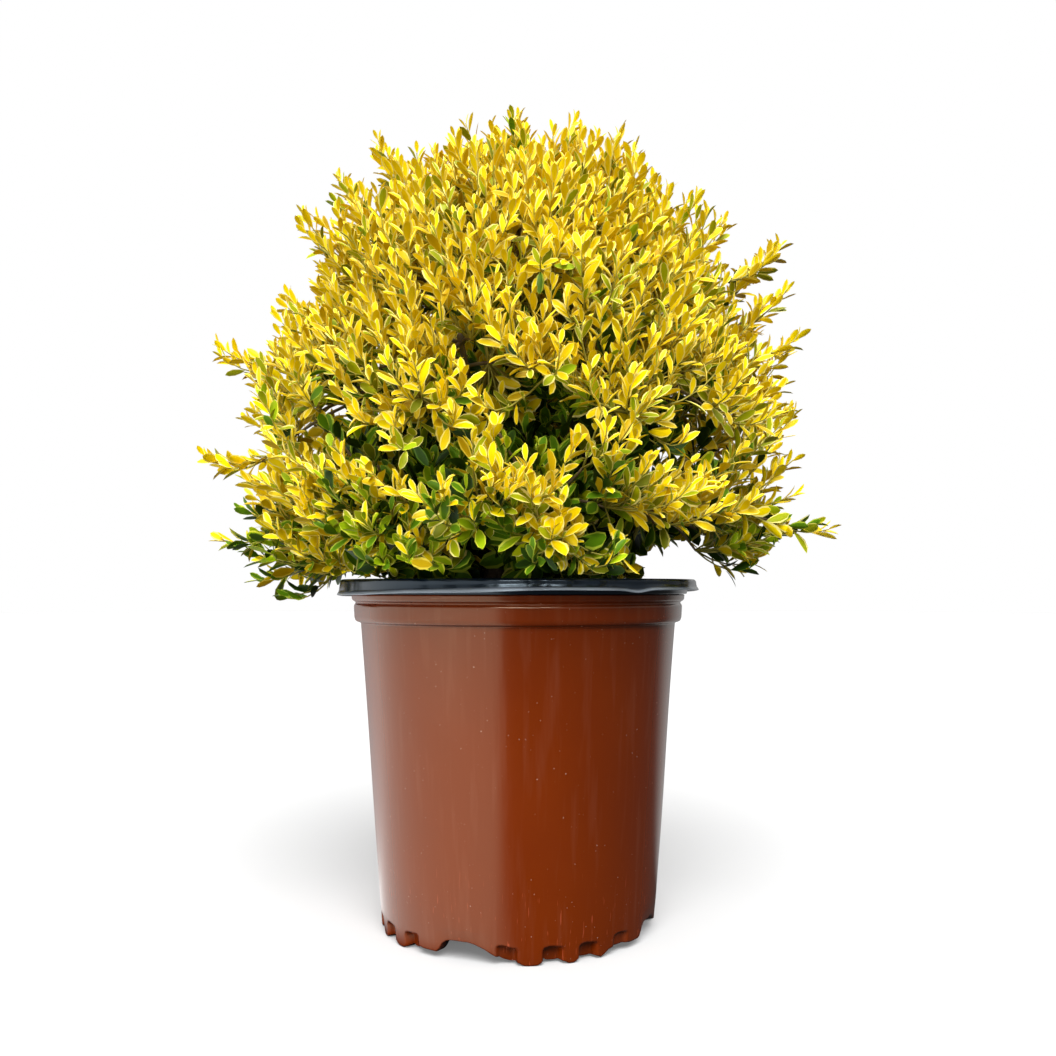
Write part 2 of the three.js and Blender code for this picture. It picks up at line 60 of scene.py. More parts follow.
def make_piece(name, points, blocks, finishes, finish_of_face=None, smooth=True):
    """A mesh object from points in millimetres and blocks of faces, one row of corner numbers a face.

    The mesh keeps one flat list of corners, and each face starts where the one before it ends.
    """
    sizes = np.concatenate([np.full(len(block), block.shape[1]) for block in blocks])
    corners = np.concatenate([block.ravel() for block in blocks])
    mesh = bpy.data.meshes.new(name)
    mesh.vertices.add(len(points))
    mesh.loops.add(len(corners))
    mesh.polygons.add(len(sizes))
    mesh.vertices.foreach_set("co", (points * MM).astype(np.float32).ravel())
    mesh.loops.foreach_set("vertex_index", corners.astype(np.int32))
    mesh.polygons.foreach_set("loop_start", (np.cumsum(sizes) - sizes).astype(np.int32))
    mesh.polygons.foreach_set("use_smooth", np.full(len(sizes), smooth))
    for finish in finishes:
        mesh.materials.append(finish)
    if finish_of_face is not None:
        mesh.polygons.foreach_set("material_index", finish_of_face.astype(np.int32))
    mesh.update(calc_edges=True)
    mesh.validate()
    piece = bpy.data.objects.new(name, mesh)
    bpy.context.scene.collection.objects.link(piece)
    print(f"{name}: {int((sizes - 2).sum())} triangles")
    return piece


# %% Faces of rings and of copies
def ring_quads(rows, columns, closed=False):
    """Quads between neighbouring rings, each of which joins up.

    A closed stack also joins its last ring to its first.
    """
    row = np.arange(rows if closed else rows - 1)[:, None]
    column = np.arange(columns)[None, :]
    above = (row + 1) % rows
    beside = (column + 1) % columns
    lower = [row * columns + column, row * columns + beside]
    upper = [above * columns + beside, above * columns + column]
    return np.stack(lower + upper, axis=-1).reshape(-1, 4)


def capped_faces(rows, columns):
    """The quads of a stack of rings and the fans to its two poles, which are numbered after the rings."""
    column = np.arange(columns)
    beside = (column + 1) % columns
    last_row = (rows - 1) * columns
    first_pole = np.full(columns, rows * columns)
    first_fan = np.stack([first_pole, beside, column], axis=1)
    last_fan = np.stack([last_row + column, last_row + beside, first_pole + 1], axis=1)
    return [ring_quads(rows, columns), np.vstack([first_fan, last_fan])]


def repeated(blocks, copies, corners):
    """The same faces for every copy, each copy's corners numbered on from those of the one before."""
    shift = corners * np.arange(copies)[:, None, None]
    return [(block[None] + shift).reshape(-1, block.shape[1]) for block in blocks]


def joined(parts):
    """Several (points, blocks) pairs as one, each part's corners numbered on from the part before."""
    counts = [len(points) for points, _ in parts]
    starts = np.cumsum([0, *counts[:-1]])
    blocks = [block + start for (_, part), start in zip(parts, starts) for block in part]
    return np.vstack([points for points, _ in parts]), blocks


# %% [markdown]
# ## Colours and nodes
# Blender's shaders work in linear light, but colours are read off a photograph as sRGB, so one
# function turns a hex value into linear numbers. One more adds a node with its settings and links,
# which keeps each material down to a short list that can be read from top to bottom. Two kinds of
# node have numbered inputs that need a word: Map Range turns inputs 1 to 2 into 3 to 4, which are 0
# to 1 unless they are given, and Mix takes its two colours at 6 and 7 and hands them on at output 2.

# %% Colour and node helpers
def linear(hex_colour):
    """Linear RGBA of an sRGB hex value: a dark channel / 12.92, else ((channel + 0.055) / 1.055) ^ 2.4."""
    channels = [int(hex_colour[i:i + 2], 16) / 255 for i in (1, 3, 5)]
    return (*(c / 12.92 if c <= 0.04045 else ((c + 0.055) / 1.055) ** 2.4 for c in channels), 1.0)


def new_finish(name, colour, roughness):
    """A material of one colour and roughness, with its node tree and its shader for further work."""
    finish = bpy.data.materials.new(name)
    finish.use_nodes = True
    shader = finish.node_tree.nodes["Principled BSDF"]
    shader.inputs["Base Color"].default_value = linear(colour)
    shader.inputs["Roughness"].default_value = roughness
    return finish, finish.node_tree, shader


def add_node(tree, kind, inputs, **properties):
    """Adds a node: its properties by name, and its inputs by name or number, as constants or as links.

    A link comes from a socket, or from a node, which stands for its first output.
    """
    node = tree.nodes.new(kind)
    for name, value in properties.items():
        setattr(node, name, value)
    for name, value in inputs.items():
        source = value.outputs[0] if isinstance(value, bpy.types.Node) else value
        if isinstance(source, bpy.types.NodeSocket):
            tree.links.new(source, node.inputs[name])
        else:
            node.inputs[name].default_value = source
    return node


# %% [markdown]
# ## The camera
# The photograph was taken from a little under the height of the rim, looking slightly up. The
# rim's and the foot's ellipses in it give the height, and the pot's known size gives the distance.
# The pot stands a few pixels left of the middle, which a small sideways lens shift repeats.

# %% Camera
PHOTO_PIXELS = 1056
FOCAL_PIXELS = 1100
LEFT_OF_MIDDLE_PIXELS = 10
SENSOR_MM = 36
CAMERA_MM = (0, -700, 207.7)
PITCH_UP = 3.12

camera_data = bpy.data.cameras.new("photo_camera")
camera_data.sensor_width = SENSOR_MM
camera_data.lens = SENSOR_MM * FOCAL_PIXELS / PHOTO_PIXELS
camera_data.shift_x = LEFT_OF_MIDDLE_PIXELS / PHOTO_PIXELS
camera_data.clip_start = 10 * MM
camera = bpy.data.objects.new("photo_camera", camera_data)
camera.location = np.array(CAMERA_MM) * MM
camera.rotation_euler = (math.radians(90 + PITCH_UP), 0, 0)
bpy.context.scene.collection.objects.link(camera)
bpy.context.scene.camera = camera
bpy.context.scene.view_settings.view_transform = "Standard"
print(f"lens {camera_data.lens:.2f} mm, {-camera.location.y:.3f} m in front of the pot's axis")

# %% [markdown]
# ## Floor and light
# The photograph is a cut-out on white with a soft shadow under the foot. A pale paper floor does
# that if the camera sees it as brightly as the background, so it glows a little, but only to the
# camera: as a light it stays dark, or it would wash out the plastic. A high, wide sun in front
# lights the crown evenly. Two low panels light the pot under it, a small one on the left and a wide
# one at the front left, and its right side falls dark. The world is treated as the floor is: white
# to the camera, but as a light it is bright only overhead, so that the top of the crown is airy and
# its foot lies in shade.
#
# The pot's left half mirrors the pale side of the studio, and that haze ends in a straight edge a
# little left of the middle. So the floor and the horizon are pale on the left, fainter behind, and
# dark at the front and right, but only to glossy rays, which are the ones that a mirror image is
# made of. Close to the pot's foot the floor isn't pale to them either, as it lies in shade there.

# %% The studio's pale side
PALE_SIDE, PALE_BEHIND = 1.6, 0.2
BEHIND = (0.5, 0.95)
PALE_EDGE_FROM, PALE_EDGE_SLOPE = (-10, -90), 0.227


def pale_side(tree, place, start_mm, blur_mm, glossy):
    """The glow of the studio's pale side at a place, or in a direction as at a place 1 m away.

    It is PALE_SIDE left of the line x = start x + PALE_EDGE_SLOPE (y - start y), with a soft edge.
    Straight behind the pot it falls to PALE_BEHIND of that, and it is there for glossy rays alone.
    """
    split = add_node(tree, "ShaderNodeSeparateXYZ", {0: place})
    ahead = add_node(tree, "ShaderNodeMath", {0: split.outputs["Y"], 1: -start_mm[1] * MM}, operation="ADD")
    slanted = add_node(tree, "ShaderNodeMath", {0: ahead, 1: PALE_EDGE_SLOPE}, operation="MULTIPLY")
    line = add_node(tree, "ShaderNodeMath", {0: slanted, 1: start_mm[0] * MM}, operation="ADD")
    aside = add_node(tree, "ShaderNodeMath", {0: line, 1: split.outputs["X"]}, operation="SUBTRACT")
    left = add_node(tree, "ShaderNodeMapRange", {0: aside, 1: -blur_mm * MM, 2: blur_mm * MM})
    way = add_node(tree, "ShaderNodeVectorMath", {0: place}, operation="NORMALIZE")
    backwards = add_node(tree, "ShaderNodeSeparateXYZ", {0: way}).outputs["Y"]
    behind = add_node(tree, "ShaderNodeMapRange", {0: backwards, 1: BEHIND[0], 2: BEHIND[1]})
    pale = add_node(tree, "ShaderNodeMath", {0: left, 1: behind}, operation="MAXIMUM")
    fading = add_node(tree, "ShaderNodeMapRange", {0: behind, 3: PALE_SIDE, 4: PALE_SIDE * PALE_BEHIND})
    level = add_node(tree, "ShaderNodeMath", {0: pale, 1: fading}, operation="MULTIPLY")
    return add_node(tree, "ShaderNodeMath", {0: level, 1: glossy}, operation="MULTIPLY")


# %% Paper floor
FLOOR_RADIUS, FLOOR_SIDES = 9000, 96
FLOOR_AS_LIGHT, FLOOR_SEEN, FLOOR_GLOW = "#404040", "#BCBCBC", 0.14
FLOOR_BLUR = 15
FOOT_SHADE = (86, 102)

paper = bpy.data.materials.new("pale_paper")
paper.use_nodes = True
tree = paper.node_tree
tree.nodes.clear()
rays = add_node(tree, "ShaderNodeLightPath", {})
to_camera = rays.outputs["Is Camera Ray"]
greys = {0: to_camera, 6: linear(FLOOR_AS_LIGHT), 7: linear(FLOOR_SEEN)}
sheet = add_node(tree, "ShaderNodeMix", greys, data_type="RGBA")
matt = add_node(tree, "ShaderNodeBsdfDiffuse", {"Color": sheet.outputs[2]})
seen_glow = add_node(tree, "ShaderNodeMath", {0: to_camera, 1: FLOOR_GLOW}, operation="MULTIPLY")
spot = add_node(tree, "ShaderNodeTexCoord", {}).outputs["Object"]
from_pot = add_node(tree, "ShaderNodeVectorMath", {0: spot}, operation="LENGTH").outputs["Value"]
clear = add_node(tree, "ShaderNodeMapRange", {0: from_pot, 1: FOOT_SHADE[0] * MM, 2: FOOT_SHADE[1] * MM})
to_gloss = rays.outputs["Is Glossy Ray"]
in_gloss = add_node(tree, "ShaderNodeMath", {0: to_gloss, 1: clear}, operation="MULTIPLY")
mirrored = pale_side(tree, spot, PALE_EDGE_FROM, FLOOR_BLUR, in_gloss)
glow_level = add_node(tree, "ShaderNodeMath", {0: seen_glow, 1: mirrored}, operation="ADD")
glow = add_node(tree, "ShaderNodeEmission", {"Strength": glow_level})
both = add_node(tree, "ShaderNodeAddShader", {0: matt, 1: glow})
add_node(tree, "ShaderNodeOutputMaterial", {"Surface": both})

floor_corner = np.arange(FLOOR_SIDES)
floor_turn = np.linspace(0, 2 * np.pi, FLOOR_SIDES, endpoint=False)
floor_ring = np.stack([np.cos(floor_turn), np.sin(floor_turn), 0 * floor_turn], axis=-1)
floor_points = np.vstack([floor_ring * FLOOR_RADIUS, [[0, 0, 0]]])
floor_middle = np.full(FLOOR_SIDES, FLOOR_SIDES)
floor_fan = np.stack([floor_middle, floor_corner, (floor_corner + 1) % FLOOR_SIDES], axis=1)
floor = make_piece("floor", floor_points, [floor_fan], [paper], smooth=False)
paper.cycles.emission_sampling = "NONE"

# %% World
WORLD_SEEN, WORLD_LEVEL, WORLD_OVERHEAD = 1.0, 0.12, 1.25
DOME, HORIZON = (0.1, 0.95), (0.2, 0.5)
WORLD_BLUR = 30

world = bpy.data.worlds.new("studio")
bpy.context.scene.world = world
world.use_nodes = True
sky = world.node_tree
sky.nodes.clear()
seen = add_node(sky, "ShaderNodeBackground", {"Color": (1, 1, 1, 1), "Strength": WORLD_SEEN})
way = add_node(sky, "ShaderNodeTexCoord", {}).outputs["Generated"]
height = add_node(sky, "ShaderNodeSeparateXYZ", {0: way}).outputs["Z"]
dome_levels = {0: height, 1: DOME[0], 2: DOME[1], 3: WORLD_LEVEL, 4: WORLD_OVERHEAD}
dome = add_node(sky, "ShaderNodeMapRange", dome_levels)
near_horizon = add_node(sky, "ShaderNodeMapRange", {0: height, 1: HORIZON[0], 2: HORIZON[1], 3: 1, 4: 0})
sky_rays = add_node(sky, "ShaderNodeLightPath", {})
sky_pale = pale_side(sky, way, (0, 0), WORLD_BLUR, sky_rays.outputs["Is Glossy Ray"])
pale_horizon = add_node(sky, "ShaderNodeMath", {0: sky_pale, 1: near_horizon}, operation="MULTIPLY")
sky_level = add_node(sky, "ShaderNodeMath", {0: dome, 1: pale_horizon}, operation="ADD")
lighting = add_node(sky, "ShaderNodeBackground", {"Color": (1, 1, 1, 1), "Strength": sky_level})
seen_or_light = {0: sky_rays.outputs["Is Camera Ray"], 1: lighting, 2: seen}
either = add_node(sky, "ShaderNodeMixShader", seen_or_light)
add_node(sky, "ShaderNodeOutputWorld", {"Surface": either})
print("made", world.name)

# %% Lights
def unit(vectors):
    """Each vector divided by its length."""
    return vectors / np.maximum(np.linalg.norm(vectors, axis=-1, keepdims=True), 1e-9)


def add_light(name, kind, place_mm, aim_mm, energy, **settings):
    """A light at one place that points at another; its settings go by name."""
    data = bpy.data.lights.new(name, kind)
    data.energy = energy
    for setting, value in settings.items():
        setattr(data, setting, value)
    light = bpy.data.objects.new(name, data)
    way = unit(np.array(aim_mm, float) - np.array(place_mm, float))
    light.location = np.array(place_mm) * MM
    light.rotation_euler = (math.acos(-way[2]), 0, math.atan2(way[1], way[0]) - math.pi / 2)
    light.visible_camera = False
    bpy.context.scene.collection.objects.link(light)
    return light


add_light("key_sun", "SUN", (30, -900, 1200), (0, 0, 250), energy=4.9, angle=math.radians(40))
side_panel = add_light(
    "side_panel", "AREA", (-620, -480, 60), (0, 0, 90), energy=0.4,
    shape="RECTANGLE", size=500 * MM, size_y=100 * MM, spread=math.radians(50),
)
front_panel = add_light(
    "front_panel", "AREA", (-420, -920, 130), (0, 0, 200), energy=1.9,
    shape="RECTANGLE", size=800 * MM, size_y=300 * MM,
)
side_panel.visible_glossy = front_panel.visible_glossy = False

# %% [markdown]
# ## The pot's plastic
# The shell is HDPE, the waxy polyethylene of milk crates, moulded in brown. It is semi-gloss with a
# very fine orange peel, drawn about a millimetre wide so that it shows. A pot that has stood in a
# nursery carries pale dust in vertical runs, specks of grit and, near its foot, short upright
# scuffs. Each layer is one noise texture at the size of the real mark, mixed over the brown.

# %% Moulded brown polyethylene
CLOUD, BROWNS = 60, ("#5A1C01", "#662402")
RUN_WIDTH, RUN_LENGTH, DUSTY, DUST_SHARE, DUST = 5, 100, (0.52, 0.8), 0.04, "#B08670"
SPECK, GRITTY, GRIT_SHARE, GRIT = 1.6, (0.77, 0.8), 0.3, "#CDB6A6"
SCUFF_WIDTH, SCUFF_LENGTH, SCUFFED, SCUFF_SHARE, SCUFF = 1.1, 26, (0.68, 0.72), 0.6, "#A5482C"
SCUFF_ZONE = (10, 60)

hdpe, tree, shader = new_finish("brown_moulded_polyethylene", "#702902", 0.22)
shader.inputs["Specular IOR Level"].default_value = 0.6
shader.inputs["Specular Tint"].default_value = linear("#FFF0CE")
place = add_node(tree, "ShaderNodeTexCoord", {}).outputs["Object"]
runs_drawn_out, scuffs_drawn_out = (1, 1, RUN_WIDTH / RUN_LENGTH), (1, 1, SCUFF_WIDTH / SCUFF_LENGTH)
runs_place = add_node(tree, "ShaderNodeMapping", {"Vector": place, "Scale": runs_drawn_out})
scuffs_place = add_node(tree, "ShaderNodeMapping", {"Vector": place, "Scale": scuffs_drawn_out})
cloud = add_node(tree, "ShaderNodeTexNoise", {"Vector": place, "Scale": 1 / (CLOUD * MM), "Detail": 3})
runs = add_node(tree, "ShaderNodeTexNoise", {"Vector": runs_place, "Scale": 1 / (RUN_WIDTH * MM)})
specks = add_node(tree, "ShaderNodeTexNoise", {"Vector": place, "Scale": 1 / (SPECK * MM), "Detail": 1})
scuffs = add_node(tree, "ShaderNodeTexNoise", {"Vector": scuffs_place, "Scale": 1 / (SCUFF_WIDTH * MM)})
up = add_node(tree, "ShaderNodeSeparateXYZ", {0: place}).outputs["Z"]
near_foot = {0: up, 1: SCUFF_ZONE[0] * MM, 2: SCUFF_ZONE[1] * MM, 3: SCUFF_SHARE, 4: 0}
scuff_share = add_node(tree, "ShaderNodeMapRange", near_foot)
dusty = add_node(tree, "ShaderNodeMapRange", {0: runs, 1: DUSTY[0], 2: DUSTY[1], 4: DUST_SHARE})
gritty = add_node(tree, "ShaderNodeMapRange", {0: specks, 1: GRITTY[0], 2: GRITTY[1], 4: GRIT_SHARE})
scuffed = add_node(tree, "ShaderNodeMapRange", {0: scuffs, 1: SCUFFED[0], 2: SCUFFED[1], 4: scuff_share})
colour = linear(BROWNS[0])
for share, over in ((cloud, BROWNS[1]), (scuffed, SCUFF), (dusty, DUST), (gritty, GRIT)):
    layer = add_node(tree, "ShaderNodeMix", {0: share, 6: colour, 7: linear(over)}, data_type="RGBA")
    colour = layer.outputs[2]
tree.links.new(colour, shader.inputs["Base Color"])

# %% The brown's gloss and orange peel
CLOUD_ROUGHNESS = (0.16, 0.26)
ORANGE_PEEL, PEEL_STRENGTH, PEEL_DEPTH = 1.1, 0.12, 0.05

worn = add_node(tree, "ShaderNodeMapRange", {0: cloud, 3: CLOUD_ROUGHNESS[0], 4: CLOUD_ROUGHNESS[1]})
peel = add_node(tree, "ShaderNodeTexNoise", {"Vector": place, "Scale": 1 / (ORANGE_PEEL * MM), "Detail": 1})
peel_relief = {"Height": peel, "Strength": PEEL_STRENGTH, "Distance": PEEL_DEPTH * MM}
relief = add_node(tree, "ShaderNodeBump", peel_relief)
tree.links.new(worn.outputs[0], shader.inputs["Roughness"])
tree.links.new(relief.outputs[0], shader.inputs["Normal"])
print("made", hdpe.name)

# %% [markdown]
# The pot is moulded in two layers. The black inner one shows inside the arches of the foot and as the
# rim. It is glossier, with a hazy bloom and fine scratches round the band, and a pale painted highlight
# runs along the edge of the lip.

# %% Black polyethylene
HAZE, BLACKS = 35, ("#020408", "#0B1522")
# The pale grey at the lip's edge is a painted highlight, mixed over the black between these radii.
LIP_HIGHLIGHT_RADII, LIP_HIGHLIGHT_SHARE, PAINTED_LIP_HIGHLIGHT = (112.5, 113.3), 0.8, "#8A939C"
SCRATCH, BAND_STRETCH, BAND_ROUGHNESS = 0.8, 0.08, (0.1, 0.26)
SCRATCH_STRENGTH, SCRATCH_DEPTH = 0.15, 0.08

black, tree, shader = new_finish("black_moulded_polyethylene", "#0A1018", 0.3)
shader.inputs["Specular IOR Level"].default_value = 0.45
shader.inputs["Specular Tint"].default_value = linear("#DCF2FF")
place = add_node(tree, "ShaderNodeTexCoord", {}).outputs["Object"]
hazy = add_node(tree, "ShaderNodeTexNoise", {"Vector": place, "Scale": 1 / (HAZE * MM), "Detail": 4})
level_place = add_node(tree, "ShaderNodeMapping", {"Vector": place, "Scale": (1, 1, 0)})
from_axis = add_node(tree, "ShaderNodeVectorMath", {0: level_place}, operation="LENGTH").outputs["Value"]
# How much of the painted highlight the lip's edge gets, by its distance from the axis.
lip_highlight_band = {0: from_axis, 1: LIP_HIGHLIGHT_RADII[0] * MM, 2: LIP_HIGHLIGHT_RADII[1] * MM, 4: LIP_HIGHLIGHT_SHARE}
painted_lip_highlight = add_node(tree, "ShaderNodeMapRange", lip_highlight_band)
colour = linear(BLACKS[0])
for share, over in ((hazy, BLACKS[1]), (painted_lip_highlight, PAINTED_LIP_HIGHLIGHT)):
    layer = add_node(tree, "ShaderNodeMix", {0: share, 6: colour, 7: linear(over)}, data_type="RGBA")
    colour = layer.outputs[2]
band_scale = (BAND_STRETCH, BAND_STRETCH, 1)
band_place = add_node(tree, "ShaderNodeMapping", {"Vector": place, "Scale": band_scale})
scratches = add_node(tree, "ShaderNodeTexNoise", {"Vector": band_place, "Scale": 1 / (SCRATCH * MM)})
worn = add_node(tree, "ShaderNodeMapRange", {0: scratches, 3: BAND_ROUGHNESS[0], 4: BAND_ROUGHNESS[1]})
scratch_relief = {"Height": scratches, "Strength": SCRATCH_STRENGTH, "Distance": SCRATCH_DEPTH * MM}
relief = add_node(tree, "ShaderNodeBump", scratch_relief)
tree.links.new(colour, shader.inputs["Base Color"])
tree.links.new(worn.outputs[0], shader.inputs["Roughness"])
tree.links.new(relief.outputs[0], shader.inputs["Normal"])
print("made", black.name)

# %% [markdown]
# ## The pot's shell
# The real shell is one moulding: a straight taper, a collar with two ledges, and a foot that four
# arches and rows of small pockets break up, so that water can run out. It could be a turned body
# with Boolean cuts, but cuts leave sharp edges and messy faces. Here a rounded outline is turned on
# the axis, and the points near the foot are moved: the arches lift the lower edge, and the pockets
# press the wall in. That keeps one clean grid, with soft moulded edges.

# %% Outlines with rounded corners
CURVE_POINTS, MOST_OF_SIDE = 5, 0.45


def rounded_path(corners, radius, step):
    """A path through the corners, each rounded by a quadratic curve, in straights of at most a step.

    A curve starts and ends at the radius from its corner, or at MOST_OF_SIDE of a shorter side.
    """
    corners = np.array(corners, float)
    t = np.linspace(0, 1, CURVE_POINTS)[:, None]
    parts = [corners[:1]]
    for before, corner, after in zip(corners[:-2], corners[1:-1], corners[2:]):
        back, ahead = before - corner, after - corner
        start = corner + back * min(radius / np.linalg.norm(back), MOST_OF_SIDE)
        end = corner + ahead * min(radius / np.linalg.norm(ahead), MOST_OF_SIDE)
        parts.append((1 - t) ** 2 * start + 2 * t * (1 - t) * corner + t ** 2 * end)
    path = np.vstack([*parts, corners[-1:]])
    spans = np.diff(path, axis=0)
    counts = np.maximum(1, np.ceil(np.linalg.norm(spans, axis=1) / step)).astype(int)
    before_span = np.repeat(np.cumsum(counts) - counts, counts)
    share = (np.arange(counts.sum()) - before_span) / np.repeat(counts, counts)
    inner = np.repeat(path[:-1], counts, axis=0) + share[:, None] * np.repeat(spans, counts, axis=0)
    return np.vstack([inner, path[-1:]])


def turned(radius, height, turn):
    """Points (r cos turn, r sin turn, z): an outline carried round the pot's axis."""
    height = np.broadcast_to(height, np.broadcast_shapes(radius.shape, turn.shape))
    return np.stack([radius * np.cos(turn), radius * np.sin(turn), height], axis=-1)


# %% The shell's sizes and outline
FOOT_RADIUS, SHOULDER_RADIUS, SHOULDER, POT_TOP, WALL = 84.2, 98.6, 185, 203.8, 2
PAD_RADIUS, CHANNEL_TOP, RING_INNER, FLOOR_TOP = 52, 12, 76, 14
RING_MIDDLE, WALL_TOP = RING_INNER + 3, SHOULDER - 4
COLLAR = [
    (98.7, 186.3), (101.9, 187.4), (102.7, 189.6), (103.0, 197.0), (101.7, 198.9), (104.2, 200.5),
    (104.6, POT_TOP),
]
MOUTH_RADIUS, LEDGE_RADIUS, LEDGE_TOP, LEDGE_FOOT = 101.4, 100.4, 189, 183
POT_COLUMNS = 640
FOOT_ZONE = 18


def taper(z):
    """The straight outer wall's radius: it grows evenly from the foot to the shoulder."""
    return FOOT_RADIUS + (SHOULDER_RADIUS - FOOT_RADIUS) * z / SHOULDER


underside = rounded_path(
    [(6, 0), (PAD_RADIUS, 0), (PAD_RADIUS + 2, CHANNEL_TOP), (RING_INNER, CHANNEL_TOP)], radius=1.5, step=12
)
inner_ring = rounded_path([(RING_INNER, CHANNEL_TOP), (RING_INNER, 0), (RING_MIDDLE, 0)], radius=1, step=2.4)
outer_ring = rounded_path(
    [(RING_MIDDLE, 0), (FOOT_RADIUS, 0), (taper(FOOT_ZONE), FOOT_ZONE)], radius=1.4, step=0.8
)
wall = rounded_path([(taper(FOOT_ZONE), FOOT_ZONE), (taper(WALL_TOP), WALL_TOP)], radius=1, step=8)
collar = rounded_path(
    [(taper(WALL_TOP), WALL_TOP), (SHOULDER_RADIUS, SHOULDER), *COLLAR, (MOUTH_RADIUS, POT_TOP)],
    radius=0.9, step=3,
)
inside = rounded_path(
    [
        (MOUTH_RADIUS, POT_TOP), (LEDGE_RADIUS, LEDGE_TOP), (taper(LEDGE_FOOT) - WALL, LEDGE_FOOT),
        (taper(FLOOR_TOP) - WALL, FLOOR_TOP), (8, FLOOR_TOP),
    ],
    radius=2, step=25,
)
outline = np.vstack([underside[:-1], inner_ring[:-1], outer_ring[:-1], wall[:-1], collar[:-1], inside])
print("rings in the shell's outline:", len(outline))

# %% [markdown]
# The arches rise from a low step on one side and run out gently on the other, as on the real foot.
# Their outline is a short list of (distance along the lower edge, height), and everything in the
# foot zone is lifted by that height, less and less towards the top of the zone. A pocket is a recess
# with a rounded top: its depth fades over a narrow band at its edge, wider on the right, where the
# real mould has a larger fillet. Beside an arch the pockets get shallower.

# %% Arches
ARCH_TURNS = np.radians([-110, -20, 70, 160])
STEP_HEIGHT, STEP_LENGTHS, STEP_RAMP = 3.6, (13, 28, 13, 13), 6
ARCH_PROFILE = np.array([
    (-19.5, STEP_HEIGHT), (-17.4, 5.4), (-15.4, 8.8), (-12.4, 11.0), (-9, 11.5), (1, 11.5),
    (5, 10.6), (10.5, 8.4), (15.5, 5.4), (20.5, 2.3), (24, 0.6), (26, 0),
])


def edge_distance(turn, centre):
    """The distance in mm along the foot's edge from a centre, taken the short way round."""
    return FOOT_RADIUS * ((turn - centre + np.pi) % (2 * np.pi) - np.pi)


def arch_lift(turn):
    """How far steps and arches lift the lower edge: straight lines between the profile's points."""
    lift = 0
    for centre, step in zip(ARCH_TURNS, STEP_LENGTHS):
        step_start = ARCH_PROFILE[0, 0] - step
        profile = np.vstack([[(step_start - STEP_RAMP, 0), (step_start, STEP_HEIGHT)], ARCH_PROFILE])
        lift = lift + np.interp(edge_distance(turn, centre), *profile.T, left=0, right=0)
    return lift


# %% Pockets
POCKET_TURNS = np.radians([16, 33.5, 48, 64])
POCKET_DEPTH, POCKET_HALF, POCKET_SPRING, POCKET_RISE, POCKET_SQUARENESS = 5.2, 6.2, 5.0, 5.6, 3.4
LEFT_FILLET, RIGHT_FILLET = 0.2, 0.42
PILLAR_ROUNDING, ROUNDING_REACH = 1.5, 2.0


def smoothstep(low, high, value):
    """0 below low, 1 above high, and 3t^2 - 2t^3 between them."""
    t = np.clip((value - low) / (high - low), 0, 1)
    return t * t * (3 - 2 * t)


def pocket_press(height, turn):
    """How deep the pockets press the wall in, and how far the pillars' feet are rounded off.

    A pocket's reach is (|along / half|^n + (up / rise)^n)^(1/n), which is 1 at its edge. The
    rounding is exp(-d^2), where d is the distance from a pocket's side over ROUNDING_REACH.
    """
    depth = rounding = 0
    for centre in (ARCH_TURNS[:, None] + POCKET_TURNS[None, :]).ravel():
        along = edge_distance(turn, centre)
        across = (np.abs(along) / POCKET_HALF) ** POCKET_SQUARENESS
        up = np.maximum(0, height - POCKET_SPRING) / POCKET_RISE
        reach = (across + up ** POCKET_SQUARENESS) ** (1 / POCKET_SQUARENESS)
        fillet = np.where(along > 0, RIGHT_FILLET, LEFT_FILLET)
        depth = depth + POCKET_DEPTH * (1 - smoothstep(1 - fillet, 1, reach))
        from_side = (np.abs(along) - POCKET_HALF) / ROUNDING_REACH
        rounding = rounding + PILLAR_ROUNDING * np.exp(-from_side ** 2)
    return depth, rounding


# %% The foot's shape
RING_SIDE = (RING_INNER - 0.5, RING_INNER + 2)
PRESSED_FROM = 1.5
POCKET_LIFT = 0.3
ARCH_FLATTENS, LEAST_LEFT = 6, 0.2


def shaped_foot(radius, height, turn):
    """Radius and height, one a ring, with the arches lifted and the pockets pressed in at each turn.

    The lift fades as 1 - height / zone, and the press grows from the ring's inner side outwards.
    """
    lift = arch_lift(turn)
    depth, rounding = pocket_press(height, turn)
    beside_arch = np.clip(1 - lift / ARCH_FLATTENS, LEAST_LEFT, 1)
    depth, rounding = depth * beside_arch, rounding * beside_arch
    zone = np.where(radius < RING_SIDE[1], CHANNEL_TOP, FOOT_ZONE)
    on_ring = (radius >= RING_SIDE[0]) & (height < zone)
    share = np.clip((radius - RING_INNER - PRESSED_FROM) / (FOOT_RADIUS - RING_INNER - PRESSED_FROM), 0, 1)
    pressed = radius - np.where(on_ring, depth * share, 0)
    raised = height + np.where(on_ring, (lift + rounding + POCKET_LIFT * depth) * (1 - height / zone), 0)
    return pressed, raised


# %% [markdown]
# No moulded wall is quite true. A sum of a few sine waves, with seeded lengths and phases, makes it
# wander by about a fifth of a millimetre, so that what it mirrors wavers a little. The same ripple
# later makes the rim's lip wavy, the mix lumpy, the bark ridged and the crown uneven.

# %% Ripples
def ripple(around, along, seed, waves, turns, pitch):
    """Smooth unevenness: the sum of sin(count around + 2 pi along / length + phase) over many waves.

    Each count is a whole number up to turns, each length is near the pitch, and the sum is divided by
    the square root of the number of waves, which keeps it at about one.
    """
    random = np.random.default_rng(seed)
    counts = random.integers(0, turns + 1, waves)
    stretches = random.uniform(0.6, 1.8, waves)
    phases = random.uniform(0, 2 * np.pi, waves)
    total = 0
    for count, stretch, phase in zip(counts, stretches, phases):
        total = total + np.sin(count * around + 2 * np.pi * along / (pitch * stretch) + phase)
    return total / math.sqrt(waves)


# %% The moulded shell
WALL_WANDER, WANDER_FROM = 0.22, 60
BROWN_OUTSIDE, BLACK_INSIDE = 0, 1

